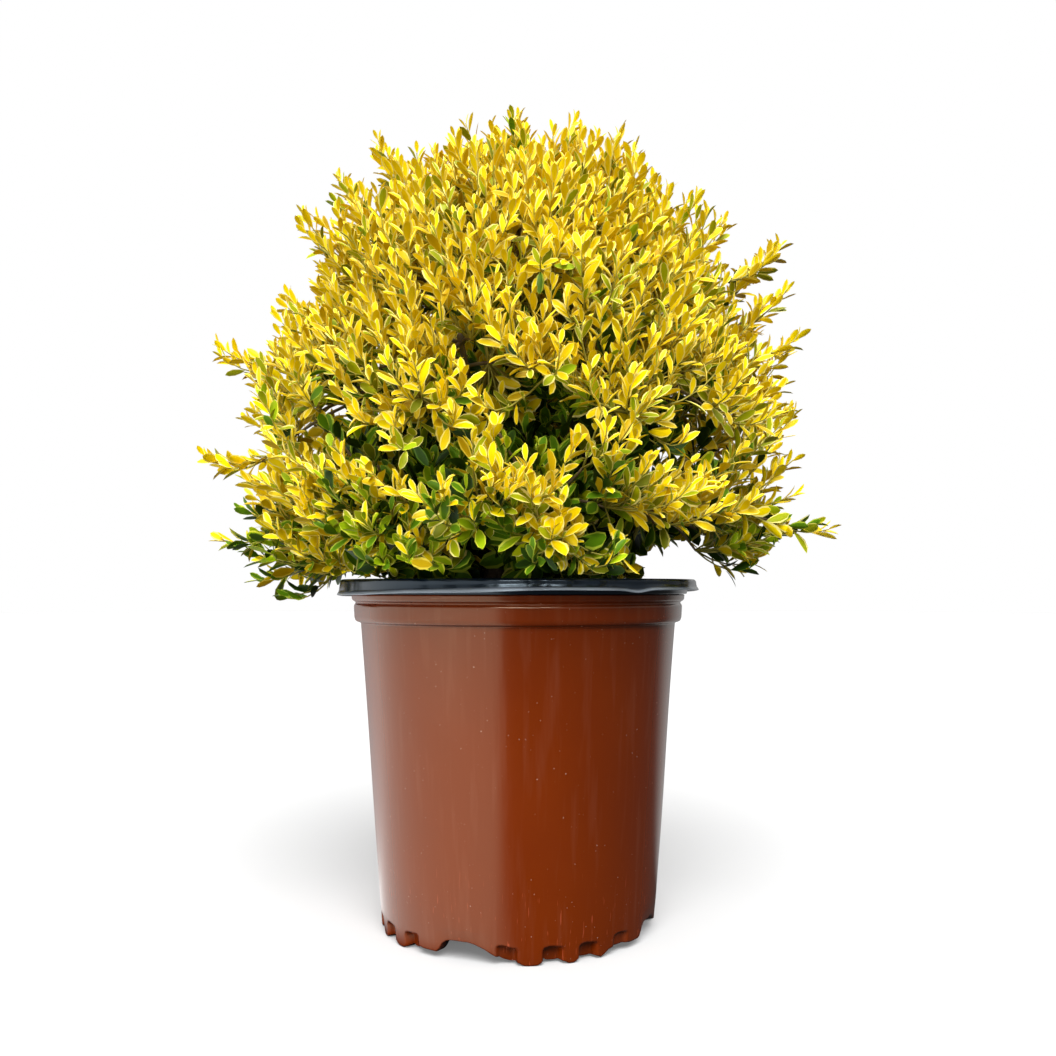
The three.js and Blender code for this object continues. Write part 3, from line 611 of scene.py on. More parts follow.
turn = np.linspace(0, 2 * np.pi, POT_COLUMNS, endpoint=False)[None, :]
shell_radius, shell_height = shaped_foot(outline[:, :1], outline[:, 1:], turn)
outer_wall = smoothstep(FOOT_ZONE, WANDER_FROM, shell_height) * (outline[:, :1] > FOOT_RADIUS)
wander = ripple(turn, shell_height, seed=5, waves=6, turns=5, pitch=240)
shell_radius = shell_radius + WALL_WANDER * outer_wall * wander
shell_points = turned(shell_radius, shell_height, turn)
shell_points = np.vstack([shell_points.reshape(-1, 3), [[0, 0, 0], [0, 0, FLOOR_TOP]]])
row_finish = np.full(len(outline) - 1, BLACK_INSIDE)
first_outer = len(underside) + len(inner_ring) - 2
row_finish[first_outer:-len(inside)] = BROWN_OUTSIDE
cap_finish = np.full(2 * POT_COLUMNS, BLACK_INSIDE)
shell_finish = np.concatenate([np.repeat(row_finish, POT_COLUMNS), cap_finish])
shell_faces = capped_faces(len(outline), POT_COLUMNS)
pot_shell = make_piece("moulded_shell", shell_points, shell_faces, [hdpe, black], shell_finish)
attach(pot_shell, "root")
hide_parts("pot_shell")

# %% [markdown]
# ## The black rim
# The black layer turns over the pot's edge as a band with a thin flared lip at its foot. The lip
# isn't level: it dips on the left, and lifts and buckles at the front on the right, as thin warm
# plastic does when it leaves the mould. The band is one closed outline turned on the axis, with that
# warp added to the points near the lip.

# %% The rim's outline and warp
RIM_TOP, RIM_COLUMNS = 213, 480
RIM_CORNERS = [
    (96.7, 186), (100.05, 191), (100.75, 204.1), (106, 204.1), (106.9, 210.8), (109.9, 210.6), (110.9, 206),
    (113.2, 203.6), (113.6, 204.2), (112.4, 206.0), (112.0, 209), (111.7, 211.9), (110.7, RIM_TOP),
    (102.6, RIM_TOP), (98.4, 191), (94.9, 186), (96.7, 186),
]
LIP_HEIGHTS, LIP_RADII = (RIM_TOP - 2, 205), (107, 110)
LIFT, WARP, WARP_TOWARDS = 0.6, 2.3, math.radians(-40)
BUCKLE, BUCKLE_AT, BUCKLE_WIDTH = 1.3, math.radians(-54), 0.07
LIP_WAVE, LIP_WANDER = 0.35, 0.25

section = rounded_path(RIM_CORNERS, radius=0.7, step=2.5)[:-1]
rim_turn = np.linspace(0, 2 * np.pi, RIM_COLUMNS, endpoint=False)[None, :]
near_lip = smoothstep(*LIP_HEIGHTS, section[:, 1:]) * smoothstep(*LIP_RADII, section[:, :1])
buckle = BUCKLE * np.exp(-((rim_turn - 2 * np.pi - BUCKLE_AT) / BUCKLE_WIDTH) ** 2)
wave = LIP_WAVE * ripple(rim_turn, 0, seed=11, waves=5, turns=11, pitch=1)
warp = LIFT + WARP * np.cos(rim_turn - WARP_TOWARDS) + wave - buckle
rim_wander = ripple(rim_turn, 0, seed=12, waves=5, turns=9, pitch=1)
rim_height = section[:, 1:] + near_lip * warp
rim_radius = section[:, :1] + LIP_WANDER * near_lip * rim_wander
rim_points = turned(rim_radius, rim_height, rim_turn).reshape(-1, 3)
rim_faces = [ring_quads(len(section), RIM_COLUMNS, closed=True)]
pot_rim = make_piece("moulded_rim", rim_points, rim_faces, [black])
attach(pot_rim, "root")
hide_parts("pot_rim")

# %% [markdown]
# ## The growing mix
# Nursery mix is composted bark: damp, nearly black, with splinters and chips on top. A noisy disc
# makes the surface, and nine hundred angular chips lie on it at random angles, because a bump map
# alone would look like paint in the gaps between the lowest leaves.

# %% Composted bark
CHIP_TONE, MIX_BROWNS = 5, ("#120C08", "#3A281C")
FIBRE, FIBRE_STRENGTH, FIBRE_DEPTH = 1.2, 0.6, 0.5

mix_finish, tree, shader = new_finish("composted_bark", "#1C130D", 0.9)
place = add_node(tree, "ShaderNodeTexCoord", {}).outputs["Object"]
grains = add_node(tree, "ShaderNodeTexVoronoi", {"Vector": place, "Scale": 1 / (CHIP_TONE * MM)})
grain_tone = add_node(tree, "ShaderNodeSeparateColor", {0: grains.outputs["Color"]})
browns = {0: grain_tone, 6: linear(MIX_BROWNS[0]), 7: linear(MIX_BROWNS[1])}
tone = add_node(tree, "ShaderNodeMix", browns, data_type="RGBA")
fibres = add_node(tree, "ShaderNodeTexNoise", {"Vector": place, "Scale": 1 / (FIBRE * MM), "Detail": 3})
fibre_relief = {"Height": fibres, "Strength": FIBRE_STRENGTH, "Distance": FIBRE_DEPTH * MM}
relief = add_node(tree, "ShaderNodeBump", fibre_relief)
tree.links.new(tone.outputs[2], shader.inputs["Base Color"])
tree.links.new(relief.outputs[0], shader.inputs["Normal"])
print("made", mix_finish.name)

# %% The mix's surface
MIX_ROWS, MIX_COLUMNS = 40, 160
MIX_FLOOR, MIX_AT_WALL, MIX_MIDDLE = 14.5, 196.6, 199.8
HEAP, HEAP_BETWEEN = 3.2, (97, 30)
LUMP, LUMP_LIMIT, LUMPS_OFF_WALL, LUMPS_OFF_MIDDLE = 1.5, 2.2, (97, 88), (0, 14)


def heaped(height, radius):
    """The height with the mix's low heap added: 0 at the wall, and HEAP over the whole middle."""
    return height + HEAP * smoothstep(*HEAP_BETWEEN, radius)


random = np.random.default_rng(31)
mix_corners = [(12, MIX_FLOOR), (taper(15) - 2.4, MIX_FLOOR), (94, 184), (94, 186), (96.6, 196)]
mix_outline = rounded_path(mix_corners, radius=1, step=20)
disc_radius = np.linspace(96.8, 2.5, MIX_ROWS)[:, None]
mix_turn = np.linspace(0, 2 * np.pi, MIX_COLUMNS, endpoint=False)[None, :]
lumps = LUMP * ripple(mix_turn, disc_radius, seed=21, waves=14, turns=22, pitch=24)
lumps = np.minimum(lumps * smoothstep(*LUMPS_OFF_WALL, disc_radius), LUMP_LIMIT)
disc_height = heaped(MIX_AT_WALL, disc_radius) + lumps * smoothstep(*LUMPS_OFF_MIDDLE, disc_radius)
side = turned(mix_outline[:, :1] + 0 * mix_turn, mix_outline[:, 1:] + 0 * mix_turn, mix_turn)
disc = turned(disc_radius + 0 * mix_turn, disc_height, mix_turn)
mix_points = np.vstack([side.reshape(-1, 3), disc.reshape(-1, 3), [[0, 0, MIX_FLOOR], [0, 0, MIX_MIDDLE]]])
mix_part = (mix_points, capped_faces(len(mix_outline) + MIX_ROWS, MIX_COLUMNS))
print(f"the mix is {disc_height.min():.1f} to {disc_height.max():.1f} mm above the ground")

# %% Chips of bark
CHIPS, CHIP_SIZE, CHIP_LEAN = 900, np.array([3.4, 1.5, 0.8]), 0.5
CHIPS_WITHIN, CHIPS_AT_WALL, CHIPS_RISE = 95, 197.6, 1.2
CHIP_CORNERS = np.array([(1, 0, 0), (0, 1, 0), (-1, 0, 0), (0, -1, 0), (0.2, 0.1, 1), (-0.1, 0, -1)], float)
CHIP_FACES = np.array([
    (0, 1, 4), (1, 2, 4), (2, 3, 4), (3, 0, 4), (1, 0, 5), (2, 1, 5), (3, 2, 5), (0, 3, 5),
])

chip_radius = CHIPS_WITHIN * np.sqrt(random.random(CHIPS))
chip_turn = 2 * np.pi * random.random(CHIPS)
chip_place = np.stack([chip_radius * np.cos(chip_turn), chip_radius * np.sin(chip_turn)], axis=-1)
chip_height = heaped(CHIPS_AT_WALL, chip_radius) + CHIPS_RISE * random.random(CHIPS)
chip_scale = CHIP_SIZE * random.uniform(0.5, 1.7, (CHIPS, 1)) * random.uniform(0.7, 1.3, (CHIPS, 3))
lean = random.normal(0, CHIP_LEAN, (CHIPS, 2))
spin = 2 * np.pi * random.random(CHIPS)
chip_x = unit(np.stack([np.cos(spin), np.sin(spin), lean[:, 0]], axis=-1))
chip_z = unit(np.cross(chip_x, np.stack([-np.sin(spin), np.cos(spin), lean[:, 1]], axis=-1)))
chip_axes = np.stack([chip_x, np.cross(chip_z, chip_x), chip_z], axis=1)
chip_points = np.einsum("cj,nj,njk->nck", CHIP_CORNERS, chip_scale, chip_axes)
chip_points += np.concatenate([chip_place, chip_height[:, None]], axis=-1)[:, None]
chip_part = (chip_points.reshape(-1, 3), repeated([CHIP_FACES], CHIPS, len(CHIP_CORNERS)))
growing_mix = make_piece("bark_mix", *joined([mix_part, chip_part]), [mix_finish], smooth=False)
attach(growing_mix, "root")
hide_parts("soil")

# %% [markdown]
# ## The plant's skeleton
# The source grows the plant by a rule, and the same rule is written again here. A stem leans up
# out of the mix. Three rings of foliage masses and one on top stand round it, and a bough runs to
# each mass as a quadratic curve. Every point of the crown belongs to the mass whose centre is
# nearest.

# %% Stem and masses
STEM_BASE, STEM_TIP = np.array([-15, -9, 198.5]), np.array([-5, -2, 290])
MIX_TOP = 200.3
STEM_BENDS = [(0.1, (-1, 0.5, 0)), (0.45, (-1.5, 1, 0))]
RINGS = {
    "lower": {"count": 6, "radius": 92, "z": 258, "turn": -80, "forks": (224, 233)},
    "middle": {"count": 6, "radius": 90, "z": 338, "turn": -110, "forks": (245, 256)},
    "upper": {"count": 5, "radius": 62, "z": 406, "turn": -90, "forks": (266, 279)},
}
TOP_MASS = (-3, 2, 448)

masses, centres, forks = [], [], []
for ring, spec in RINGS.items():
    for i in range(spec["count"]):
        angle = math.radians(spec["turn"] + 360 * i / spec["count"])
        masses.append(f"{ring}_{i + 1}")
        centres.append((spec["radius"] * math.cos(angle), spec["radius"] * math.sin(angle), spec["z"]))
        forks.append(spec["forks"][i % 2])
masses, centres, forks = [*masses, "top"], np.array([*centres, TOP_MASS]), np.array([*forks, STEM_TIP[2]])
print(f"{len(masses)} masses of foliage, {centres[:, 2].min():.0f} to {centres[:, 2].max():.0f} mm up")


def stem_point(z):
    """The stem's axis at a height: a cubic through its base on the mix, two bends and its tip."""
    base, tip = np.array([*STEM_BASE[:2], MIX_TOP]), STEM_TIP
    knots = np.array([base, *(base + share * (tip - base) + aside for share, aside in STEM_BENDS), tip])
    x, y = (np.polyval(np.polyfit(knots[:, 2], knots[:, axis], 3), z) for axis in (0, 1))
    return np.stack([x, y, z + 0 * x], axis=-1)


# %% Boughs
UP = np.array([0.0, 0.0, 1.0])
BOUGH_STOPS_SHORT, BOUGH_SAG = 38, 0.07


def bezier(start, bend, end, t):
    """Quadratic curves (1 - t)^2 start + 2t(1 - t) bend + t^2 end, one row of points a curve."""
    t = np.atleast_2d(t)[..., None]
    return (1 - t) ** 2 * start[:, None] + 2 * t * (1 - t) * bend[:, None] + t ** 2 * end[:, None]


bough_root = stem_point(forks.astype(float))
reach = centres - bough_root
bough_length = np.linalg.norm(reach, axis=1, keepdims=True) - BOUGH_STOPS_SHORT
bough_tip = bough_root + unit(reach) * bough_length
sag = np.where(forks == STEM_TIP[2], 0, -BOUGH_SAG)[:, None] * bough_length
bough_bend = (bough_root + bough_tip) / 2 + sag * UP
bough_way = unit(bough_tip - bough_bend)
print(f"{len(masses)} boughs, {bough_length.min():.0f} to {bough_length.max():.0f} mm long")

# %% [markdown]
# ## Limbs as tubes
# A limb is a circle carried along a path. Each ring needs two directions across the path, and
# crossing the path's direction with one fixed helper axis gives them for all the rings of all the
# limbs at once. For the stem and boughs the radius also carries the bark's relief: ridges that run
# along the limb and wander a little, and low swellings. The young bark of this holly is grey-brown
# and dull, with a fine upright grain and small pale pores, which its material adds.

# %% Tubes along many paths
POLES_BEYOND = (-0.5, 0.8)


def tubes(paths, radii, sides):
    """Closed tubes: round each path point a ring of the given radius, and a pole beyond each end.

    paths has one row of points a tube, and radii has one number a path point, or one a ring point.
    """
    count, steps = paths.shape[:2]
    way = unit(np.gradient(paths, axis=1))
    helper = np.eye(3)[np.argmin(np.abs(paths[:, -1] - paths[:, 0]), axis=1)][:, None]
    first = unit(np.cross(way, helper))
    second = np.cross(way, first)
    angle = 2 * np.pi * np.arange(sides) / sides
    spokes = first[:, :, None] * np.cos(angle)[:, None] + second[:, :, None] * np.sin(angle)[:, None]
    radii = radii if radii.ndim == 3 else radii[:, :, None]
    rings = paths[:, :, None] + spokes * radii[..., None]
    ends = radii.mean(axis=2)[:, [0, -1]] * POLES_BEYOND
    poles = paths[:, [0, -1]] + way[:, [0, -1]] * ends[..., None]
    points = np.concatenate([rings.reshape(count, -1, 3), poles], axis=1)
    return points.reshape(-1, 3), repeated(capped_faces(steps, sides), count, points.shape[1])


# %% Young bark
GRAIN, GRAIN_STRETCH, BARK_BROWNS = 1.6, 0.18, ("#2E2419", "#7A6850")
PORE, PORES_FROM, PORE_SHARE, PORE_PALE = 1.0, (0.66, 0.72), 0.6, "#A39274"
GRAIN_STRENGTH, GRAIN_DEPTH = 0.6, 0.4

bark, tree, shader = new_finish("young_holly_bark", "#5B4A35", 0.8)
place = add_node(tree, "ShaderNodeTexCoord", {}).outputs["Object"]
grain_place = add_node(tree, "ShaderNodeMapping", {"Vector": place, "Scale": (1, 1, GRAIN_STRETCH)})
grain = add_node(tree, "ShaderNodeTexNoise", {"Vector": grain_place, "Scale": 1 / (GRAIN * MM), "Detail": 4})
pores = add_node(tree, "ShaderNodeTexNoise", {"Vector": place, "Scale": 1 / (PORE * MM), "Detail": 1})
spotted = add_node(tree, "ShaderNodeMapRange", {0: pores, 1: PORES_FROM[0], 2: PORES_FROM[1], 4: PORE_SHARE})
colour = linear(BARK_BROWNS[0])
for share, over in ((grain, BARK_BROWNS[1]), (spotted, PORE_PALE)):
    layer = add_node(tree, "ShaderNodeMix", {0: share, 6: colour, 7: linear(over)}, data_type="RGBA")
    colour = layer.outputs[2]
grain_relief = {"Height": grain, "Strength": GRAIN_STRENGTH, "Distance": GRAIN_DEPTH * MM}
relief = add_node(tree, "ShaderNodeBump", grain_relief)
tree.links.new(colour, shader.inputs["Base Color"])
tree.links.new(relief.outputs[0], shader.inputs["Normal"])
print("made", bark.name)

# %% The stem and its boughs
STEM_STEPS, STEM_SIDES, BOUGH_STEPS, BOUGH_SIDES = 150, 40, 48, 16
STEM_RADIUS, STEM_TIP_RADIUS, ROOT_FLARE, FLARE_HEIGHT = 6.2, 3.9, 4.6, 7
BOUGH_RADIUS, LENGTH_PER_RADIUS, BOUGH_TIP_RADIUS = 3.1, 240, 2.1
RIDGE_HEIGHT, SWELLING_HEIGHT = 0.045, 0.05


def bark_relief(steps, sides, length, seed):
    """1 plus ridges that run along the limb and wander, and rounder swellings where buds once were."""
    along = np.linspace(0, 1, steps)[:, None] * length
    around = np.linspace(0, 2 * np.pi, sides, endpoint=False)[None, :]
    ridges = np.abs(ripple(around, along, seed, waves=10, turns=sides // 3, pitch=46))
    swellings = np.maximum(0, ripple(around, along, seed + 1, waves=5, turns=3, pitch=13))
    return 1 + RIDGE_HEIGHT * (1 - ridges) + SWELLING_HEIGHT * swellings ** 2


stem_z = np.linspace(STEM_BASE[2], STEM_TIP[2], STEM_STEPS)
stem_share = (stem_z - stem_z[0]) / (stem_z[-1] - stem_z[0])
flare = ROOT_FLARE * np.exp(-np.maximum(0, stem_z - MIX_TOP) / FLARE_HEIGHT)
stem_radius = STEM_RADIUS + (STEM_TIP_RADIUS - STEM_RADIUS) * stem_share + flare
stem_radius = stem_radius[None, :, None] * bark_relief(STEM_STEPS, STEM_SIDES, length=90, seed=40)[None]
stem_part = tubes(stem_point(stem_z)[None], stem_radius, STEM_SIDES)

t = np.linspace(0, 1, BOUGH_STEPS)
bough_radius = BOUGH_RADIUS + bough_length / LENGTH_PER_RADIUS
bough_radius = bough_radius + (BOUGH_TIP_RADIUS - bough_radius) * t
seeds = range(50, 50 + len(masses))
bough_relief = np.stack([bark_relief(BOUGH_STEPS, BOUGH_SIDES, length=60, seed=seed) for seed in seeds])
bough_paths = bezier(bough_root, bough_bend, bough_tip, t)
bough_part = tubes(bough_paths, bough_radius[..., None] * bough_relief, BOUGH_SIDES)
stems = make_piece("bark_of_stem_and_boughs", *joined([stem_part, bough_part]), [bark])
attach(stems, "root")
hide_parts("trunk", *[f"bough_{mass}" for mass in masses])

# %% [markdown]
# ## The crown's space
# From the front the crown is a broad egg, widest low down, with single shoots that stick out of it.
# The golden angle spreads any number of points evenly over that egg: each point turns on from the
# last by 137.5 degrees while it steps down. The same points, drawn in towards the middle, are where
# the inner twigs and the green inner leaves go.
#
# The outline's own tips are named as the camera sees them, in the plane of the pot's axis. Each is
# then moved along its ray, nearer or further, so that they don't all stand in one plane. The crown
# has two gaps, also as the camera sees them: low on the right, and before the stem's foot.

# %% The egg and its points
BELLY, EGG_RADIUS, EGG_UP, EGG_DOWN = 275, 172, 237, 90
OUT_POWER, UP_POWER = 0.6, 2.2
GOLDEN_TURN = math.pi * (3 - math.sqrt(5))


def egg_points(count):
    """Points spread over the egg by the golden angle, with the outward direction at each."""
    k = np.arange(count)
    across = 1 - 2 * (k + 0.5) / count
    out = (1 - across ** 2) ** OUT_POWER
    tall = np.where(across > 0, EGG_UP, EGG_DOWN)
    up = np.sign(across) * np.abs(across) ** (2 / UP_POWER)
    turn = k * GOLDEN_TURN
    around = np.stack([np.cos(turn), np.sin(turn), 0 * turn], axis=-1)
    points = EGG_RADIUS * out[:, None] * around + np.stack([0 * up, 0 * up, BELLY + tall * up], axis=-1)
    slope_out = out ** (1 / OUT_POWER - 1) / (OUT_POWER * EGG_RADIUS)
    slope_up = np.sign(up) * UP_POWER * np.abs(up) ** (UP_POWER - 1) / tall
    outward = unit(slope_out[:, None] * around + slope_up[:, None] * UP)
    return points, outward


def drawn_in(points, share):
    """Points moved towards the middle of the belly, to this share of their distance from it."""
    middle = BELLY * UP
    return middle + share * (points - middle)


def nearest_mass(points):
    """The number of the mass whose centre is nearest, for each point."""
    return np.argmin(np.linalg.norm(points[:, None] - centres[None], axis=-1), axis=1)


# %% The crown's reach and its gaps
REACH, REACH_TOP = 199.5, 520
OVER_MIX_WITHIN, LOWEST_OVER_MIX, LOWEST_OVER_RIM = 88, 204, 214
HANGS_BEYOND, HANGS_ASIDE, LOWEST_HANGING = 119, 112, 199.5
CORNER_GAP, CORNER_TOP = (72, 122), 242
STEM_GAP, STEM_GAP_TOP = (-32, -6), 237


def in_reach(points):
    """Whether points lie inside the crown's furthest reach and above the pot; only the sides hang lower."""
    out = np.hypot(points[..., 0], points[..., 1])
    hangs = (out > HANGS_BEYOND) & (np.abs(points[..., 0]) > HANGS_ASIDE)
    beside_mix = np.where(hangs, LOWEST_HANGING, LOWEST_OVER_RIM)
    lowest = np.where(out < OVER_MIX_WITHIN, LOWEST_OVER_MIX, beside_mix)
    return (out < REACH) & (points[..., 2] < REACH_TOP) & (points[..., 2] > lowest)


def in_gap(points):
    """Whether points lie in one of the crown's gaps, at x * eye y / (eye y - y) as the camera sees them."""
    seen_x = points[..., 0] * CAMERA_MM[1] / (CAMERA_MM[1] - points[..., 1])
    corner = (seen_x > CORNER_GAP[0]) & (seen_x < CORNER_GAP[1]) & (points[..., 2] < CORNER_TOP)
    before_stem = (seen_x > STEM_GAP[0]) & (seen_x < STEM_GAP[1]) & (points[..., 2] < STEM_GAP_TOP)
    return corner | (before_stem & (points[..., 1] < STEM_BASE[1]))


# %% The outline's tips
OUTLINE_TIPS = [
    (1, 514), (41, 506), (66, 504), (88, 474), (116, 461), (133, 445), (170, 429), (174, 400), (182, 371),
    (174, 322), (176, 267), (198, 245), (146, 219), (-91, 499), (-116, 474), (-139, 451), (-148, 397),
    (-194, 365), (-200, 292), (-188, 238), (-148, 203), (-165, 213), (-140, 216), (-176, 257), (-174, 316),
    (154, 232), (170, 338),
]
TIP_DEPTH, TIP_SWAY = 42, 2.4
ONLY_NEARER_ASIDE, ONLY_NEARER_ABOVE = 185, 505

seen_tips = np.array([(x, 0, z) for x, z in OUTLINE_TIPS], float)
tip_depth = TIP_DEPTH * np.sin(TIP_SWAY * np.arange(len(seen_tips)))
only_nearer = (np.abs(seen_tips[:, 0]) > ONLY_NEARER_ASIDE) | (seen_tips[:, 2] > ONLY_NEARER_ABOVE)
tip_depth = np.where(only_nearer, -np.abs(tip_depth), tip_depth)
eye = np.array(CAMERA_MM, float)
tips = eye + (seen_tips - eye) * (1 - tip_depth / CAMERA_MM[1])[:, None]
print("outline tips:", len(tips), "from y", tips[:, 1].min().round(), "to", tips[:, 1].max().round(), "mm")

# %% [markdown]
# ## Twigs inside the masses
# Each mass has a short stem that carries its bough on, and twigs leave that stem for points spread
# over the egg. They end well inside it, because the leafy shoots of the next step carry them on to
# the surface. They bow down a little where they climb, and up where they hang.

# %% Main twigs
MASS_STEM_GAP, MASS_STEM_END, MASS_STEM_STEPS = 0.3, 13.6, 4
TWIG_COUNT, TWIGS_ABOVE, TWIG_ENDS_AT, TWIG_STEPS = 150, 223, 0.74, 8
BEHIND_TIP = 34
TWIG_LEAVES_AT = (0.3, 0.95)
BOW_DOWN, BOW_UP = -0.1, 0.12

random = np.random.default_rng(20260)
stem_start = bough_tip + MASS_STEM_GAP * bough_way
stem_end = centres + MASS_STEM_END * bough_way
stem_middle = (stem_start + stem_end) / 2
mass_stems = bezier(stem_start, stem_middle, stem_end, np.linspace(0, 1, MASS_STEM_STEPS))
spread, _ = egg_points(TWIG_COUNT)
spread = drawn_in(spread[spread[:, 2] > TWIGS_ABOVE], TWIG_ENDS_AT)
spread = spread[~in_gap(spread)]
behind_tips = tips - BEHIND_TIP * unit(tips - BELLY * UP)
twig_end = np.vstack([behind_tips, spread])
twig_mass = nearest_mass(twig_end)
leaves_at = random.uniform(*TWIG_LEAVES_AT, (len(twig_end), 1))
twig_start = stem_start[twig_mass] + leaves_at * (stem_end - stem_start)[twig_mass]
twig_span = np.linalg.norm(twig_end - twig_start, axis=1, keepdims=True)
bow = np.where(twig_end[:, 2:] > twig_start[:, 2:], BOW_DOWN, BOW_UP) * twig_span
twig_bend = (twig_start + twig_end) / 2 + bow * UP
twig_paths = bezier(twig_start, twig_bend, twig_end, np.linspace(0, 1, TWIG_STEPS))
print(f"{len(twig_paths)} main twigs, {twig_span.mean():.0f} mm long on average")

# %% [markdown]
# ## Leafy shoots
# The golden crown is made of short shoots that point outwards and up, like candle flames. Most end
# just inside the egg's surface and some run past it, which keeps the outline ragged. A second layer
# of green shoots fills the shade behind, and a few fellows stand in a row behind each named tip. A
# slow ripple then opens gaps between sprays, wider low down, and the crown's two gaps are kept
# nearly free.

# %% Ways and odds of shoots
RISE_LOW, RISE_MORE, RISE_BETWEEN = 0.85, 0.3, (215, 330)
LEAST_OUTWARD_Z, WAY_SCATTER = -0.1, 0.18
SPRAY_GAP_LOW, SPRAY_GAP_LESS, SPRAY_GAP_BETWEEN = 0.25, 1.7, (240, 430)
ODDS_IN_GAPS, ODDS_IN_SPRAYS = 0.12, 0.94


def shoot_ways(points, outward):
    """Which way shoots point: outwards and up, a little less steeply low down, with some scatter."""
    level = np.stack([outward[:, 0], outward[:, 1], np.maximum(outward[:, 2], LEAST_OUTWARD_Z)], axis=-1)
    rise = RISE_LOW + RISE_MORE * smoothstep(*RISE_BETWEEN, points[:, 2:])
    return unit(level + rise * UP + random.normal(0, WAY_SCATTER, points.shape))


def thinned(points, least_odds):
    """A mask that leaves gaps between sprays, and drops most points in the crown's own gaps.

    A spray is where the ripple is above a level that falls with height, so gaps are wider low down.
    """
    turn = np.arctan2(points[:, 1], points[:, 0])
    spray = ripple(turn, points[:, 2], seed=1680, waves=18, turns=34, pitch=75)
    gap_level = SPRAY_GAP_LOW - SPRAY_GAP_LESS * smoothstep(*SPRAY_GAP_BETWEEN, points[:, 2])
    in_spray = ~in_gap(points) & (spray > gap_level)
    odds = np.where(in_spray, ODDS_IN_SPRAYS, ODDS_IN_GAPS)
    return random.random(len(points)) < np.maximum(least_odds, odds)


# %% Outer shoots
OUTER_SHOOTS, CROWN_SHARE, LUMP_HEIGHT = 2250, 0.905, 5
JUTTING, JUT, NO_JUT = 0.3, (3, 16), (-9, 2)

surface, outward = egg_points(OUTER_SHOOTS)
surface_turn = np.arctan2(surface[:, 1], surface[:, 0])
lumps = LUMP_HEIGHT * ripple(surface_turn, surface[:, 2], seed=77, waves=12, turns=9, pitch=90)[:, None]
juts = random.random((OUTER_SHOOTS, 1)) < JUTTING
far_out = random.uniform(*JUT, (OUTER_SHOOTS, 1))
near_surface = random.uniform(*NO_JUT, (OUTER_SHOOTS, 1))
beyond = np.where(juts, far_out, near_surface)
outer_tip = drawn_in(surface, CROWN_SHARE) + (beyond + lumps) * outward
outer_way = shoot_ways(outer_tip, outward)
print(f"{int(juts.sum())} of {OUTER_SHOOTS} outer shoots jut out")

# %% Inner shoots
INNER_SHOOTS, INNER_AT, INNER_SCATTER = 1800, (0.35, 0.82), 4
INNER_THIN_FROM, INNER_THIN_ODDS = 0.66, 0.45

deep, deep_outward = egg_points(INNER_SHOOTS)
inner_share = random.uniform(*INNER_AT, (INNER_SHOOTS, 1))
inner_tip = drawn_in(deep, inner_share) + random.normal(0, INNER_SCATTER, deep.shape)
inner_way = shoot_ways(inner_tip, deep_outward)
left_of_corner = (inner_tip[:, 0] < CORNER_GAP[0]) & ~in_gap(inner_tip)
least_inner_odds = np.where(inner_share[:, 0] > INNER_THIN_FROM, INNER_THIN_ODDS, 1) * left_of_corner
print(f"{int((least_inner_odds == 1).sum())} of {INNER_SHOOTS} inner shoots are sure to stay, deep inside")

# %% Fellows of the named tips
FELLOWS, FELLOW_STEP, FELLOW_SCATTER = 7, 6.5, 5
FELLOW_RISE, FELLOW_WAY_SCATTER = 0.35, 0.25
TIPS_POINT_FROM = BELLY - 30

tip_outward = unit(tips - TIPS_POINT_FROM * UP)
fellow = np.repeat(np.arange(len(tips)), FELLOWS)
fellow_rank = np.tile(np.arange(FELLOWS), len(tips))[:, None]
in_row = tips[fellow] - tip_outward[fellow] * fellow_rank * FELLOW_STEP
fellow_tip = in_row + random.normal(0, FELLOW_SCATTER, in_row.shape) * (fellow_rank > 0)
fellow_scatter = random.normal(0, FELLOW_WAY_SCATTER, in_row.shape) * (fellow_rank > 0)
fellow_way = unit(tip_outward[fellow] + FELLOW_RISE * UP + fellow_scatter)
print(f"{len(fellow_tip)} shoots at the {len(tips)} named tips and in rows behind them")

# %% Shoots that are kept
TIP_MARGIN = 2

shoot_tip = np.vstack([fellow_tip, outer_tip, inner_tip])
shoot_way = np.vstack([fellow_way, outer_way, inner_way])
shoot_inner = np.arange(len(shoot_tip)) >= len(fellow_tip) + OUTER_SHOOTS
least_odds = np.concatenate([np.ones(len(fellow_tip)), np.zeros(OUTER_SHOOTS), least_inner_odds])
kept = in_reach(shoot_tip - TIP_MARGIN * shoot_way) & thinned(shoot_tip, least_odds)
shoot_tip, shoot_way, shoot_inner = shoot_tip[kept], shoot_way[kept], shoot_inner[kept]
print(f"{len(shoot_tip)} shoots, {shoot_inner.sum()} of them inner ones")

# %% [markdown]
# A shoot starts at the twig point that lies nearest to where a straight shoot of the usual length
# would start. All those distances fit in one table, in which the twigs of other masses are pushed
# far away, and `argmin` reads the best one off for every shoot. A shoot whose curve would leave the
# crown's reach, such as into the pot, or cross one of the two gaps, is dropped.

# %% Where shoots join the twigs
SHOOT_LENGTH, SHOOT_BEND_AT = 42, 0.5
OTHER_MASS_AWAY = 500
CHECKED_AT = np.array([0.3, 0.5, 0.7, 0.9])

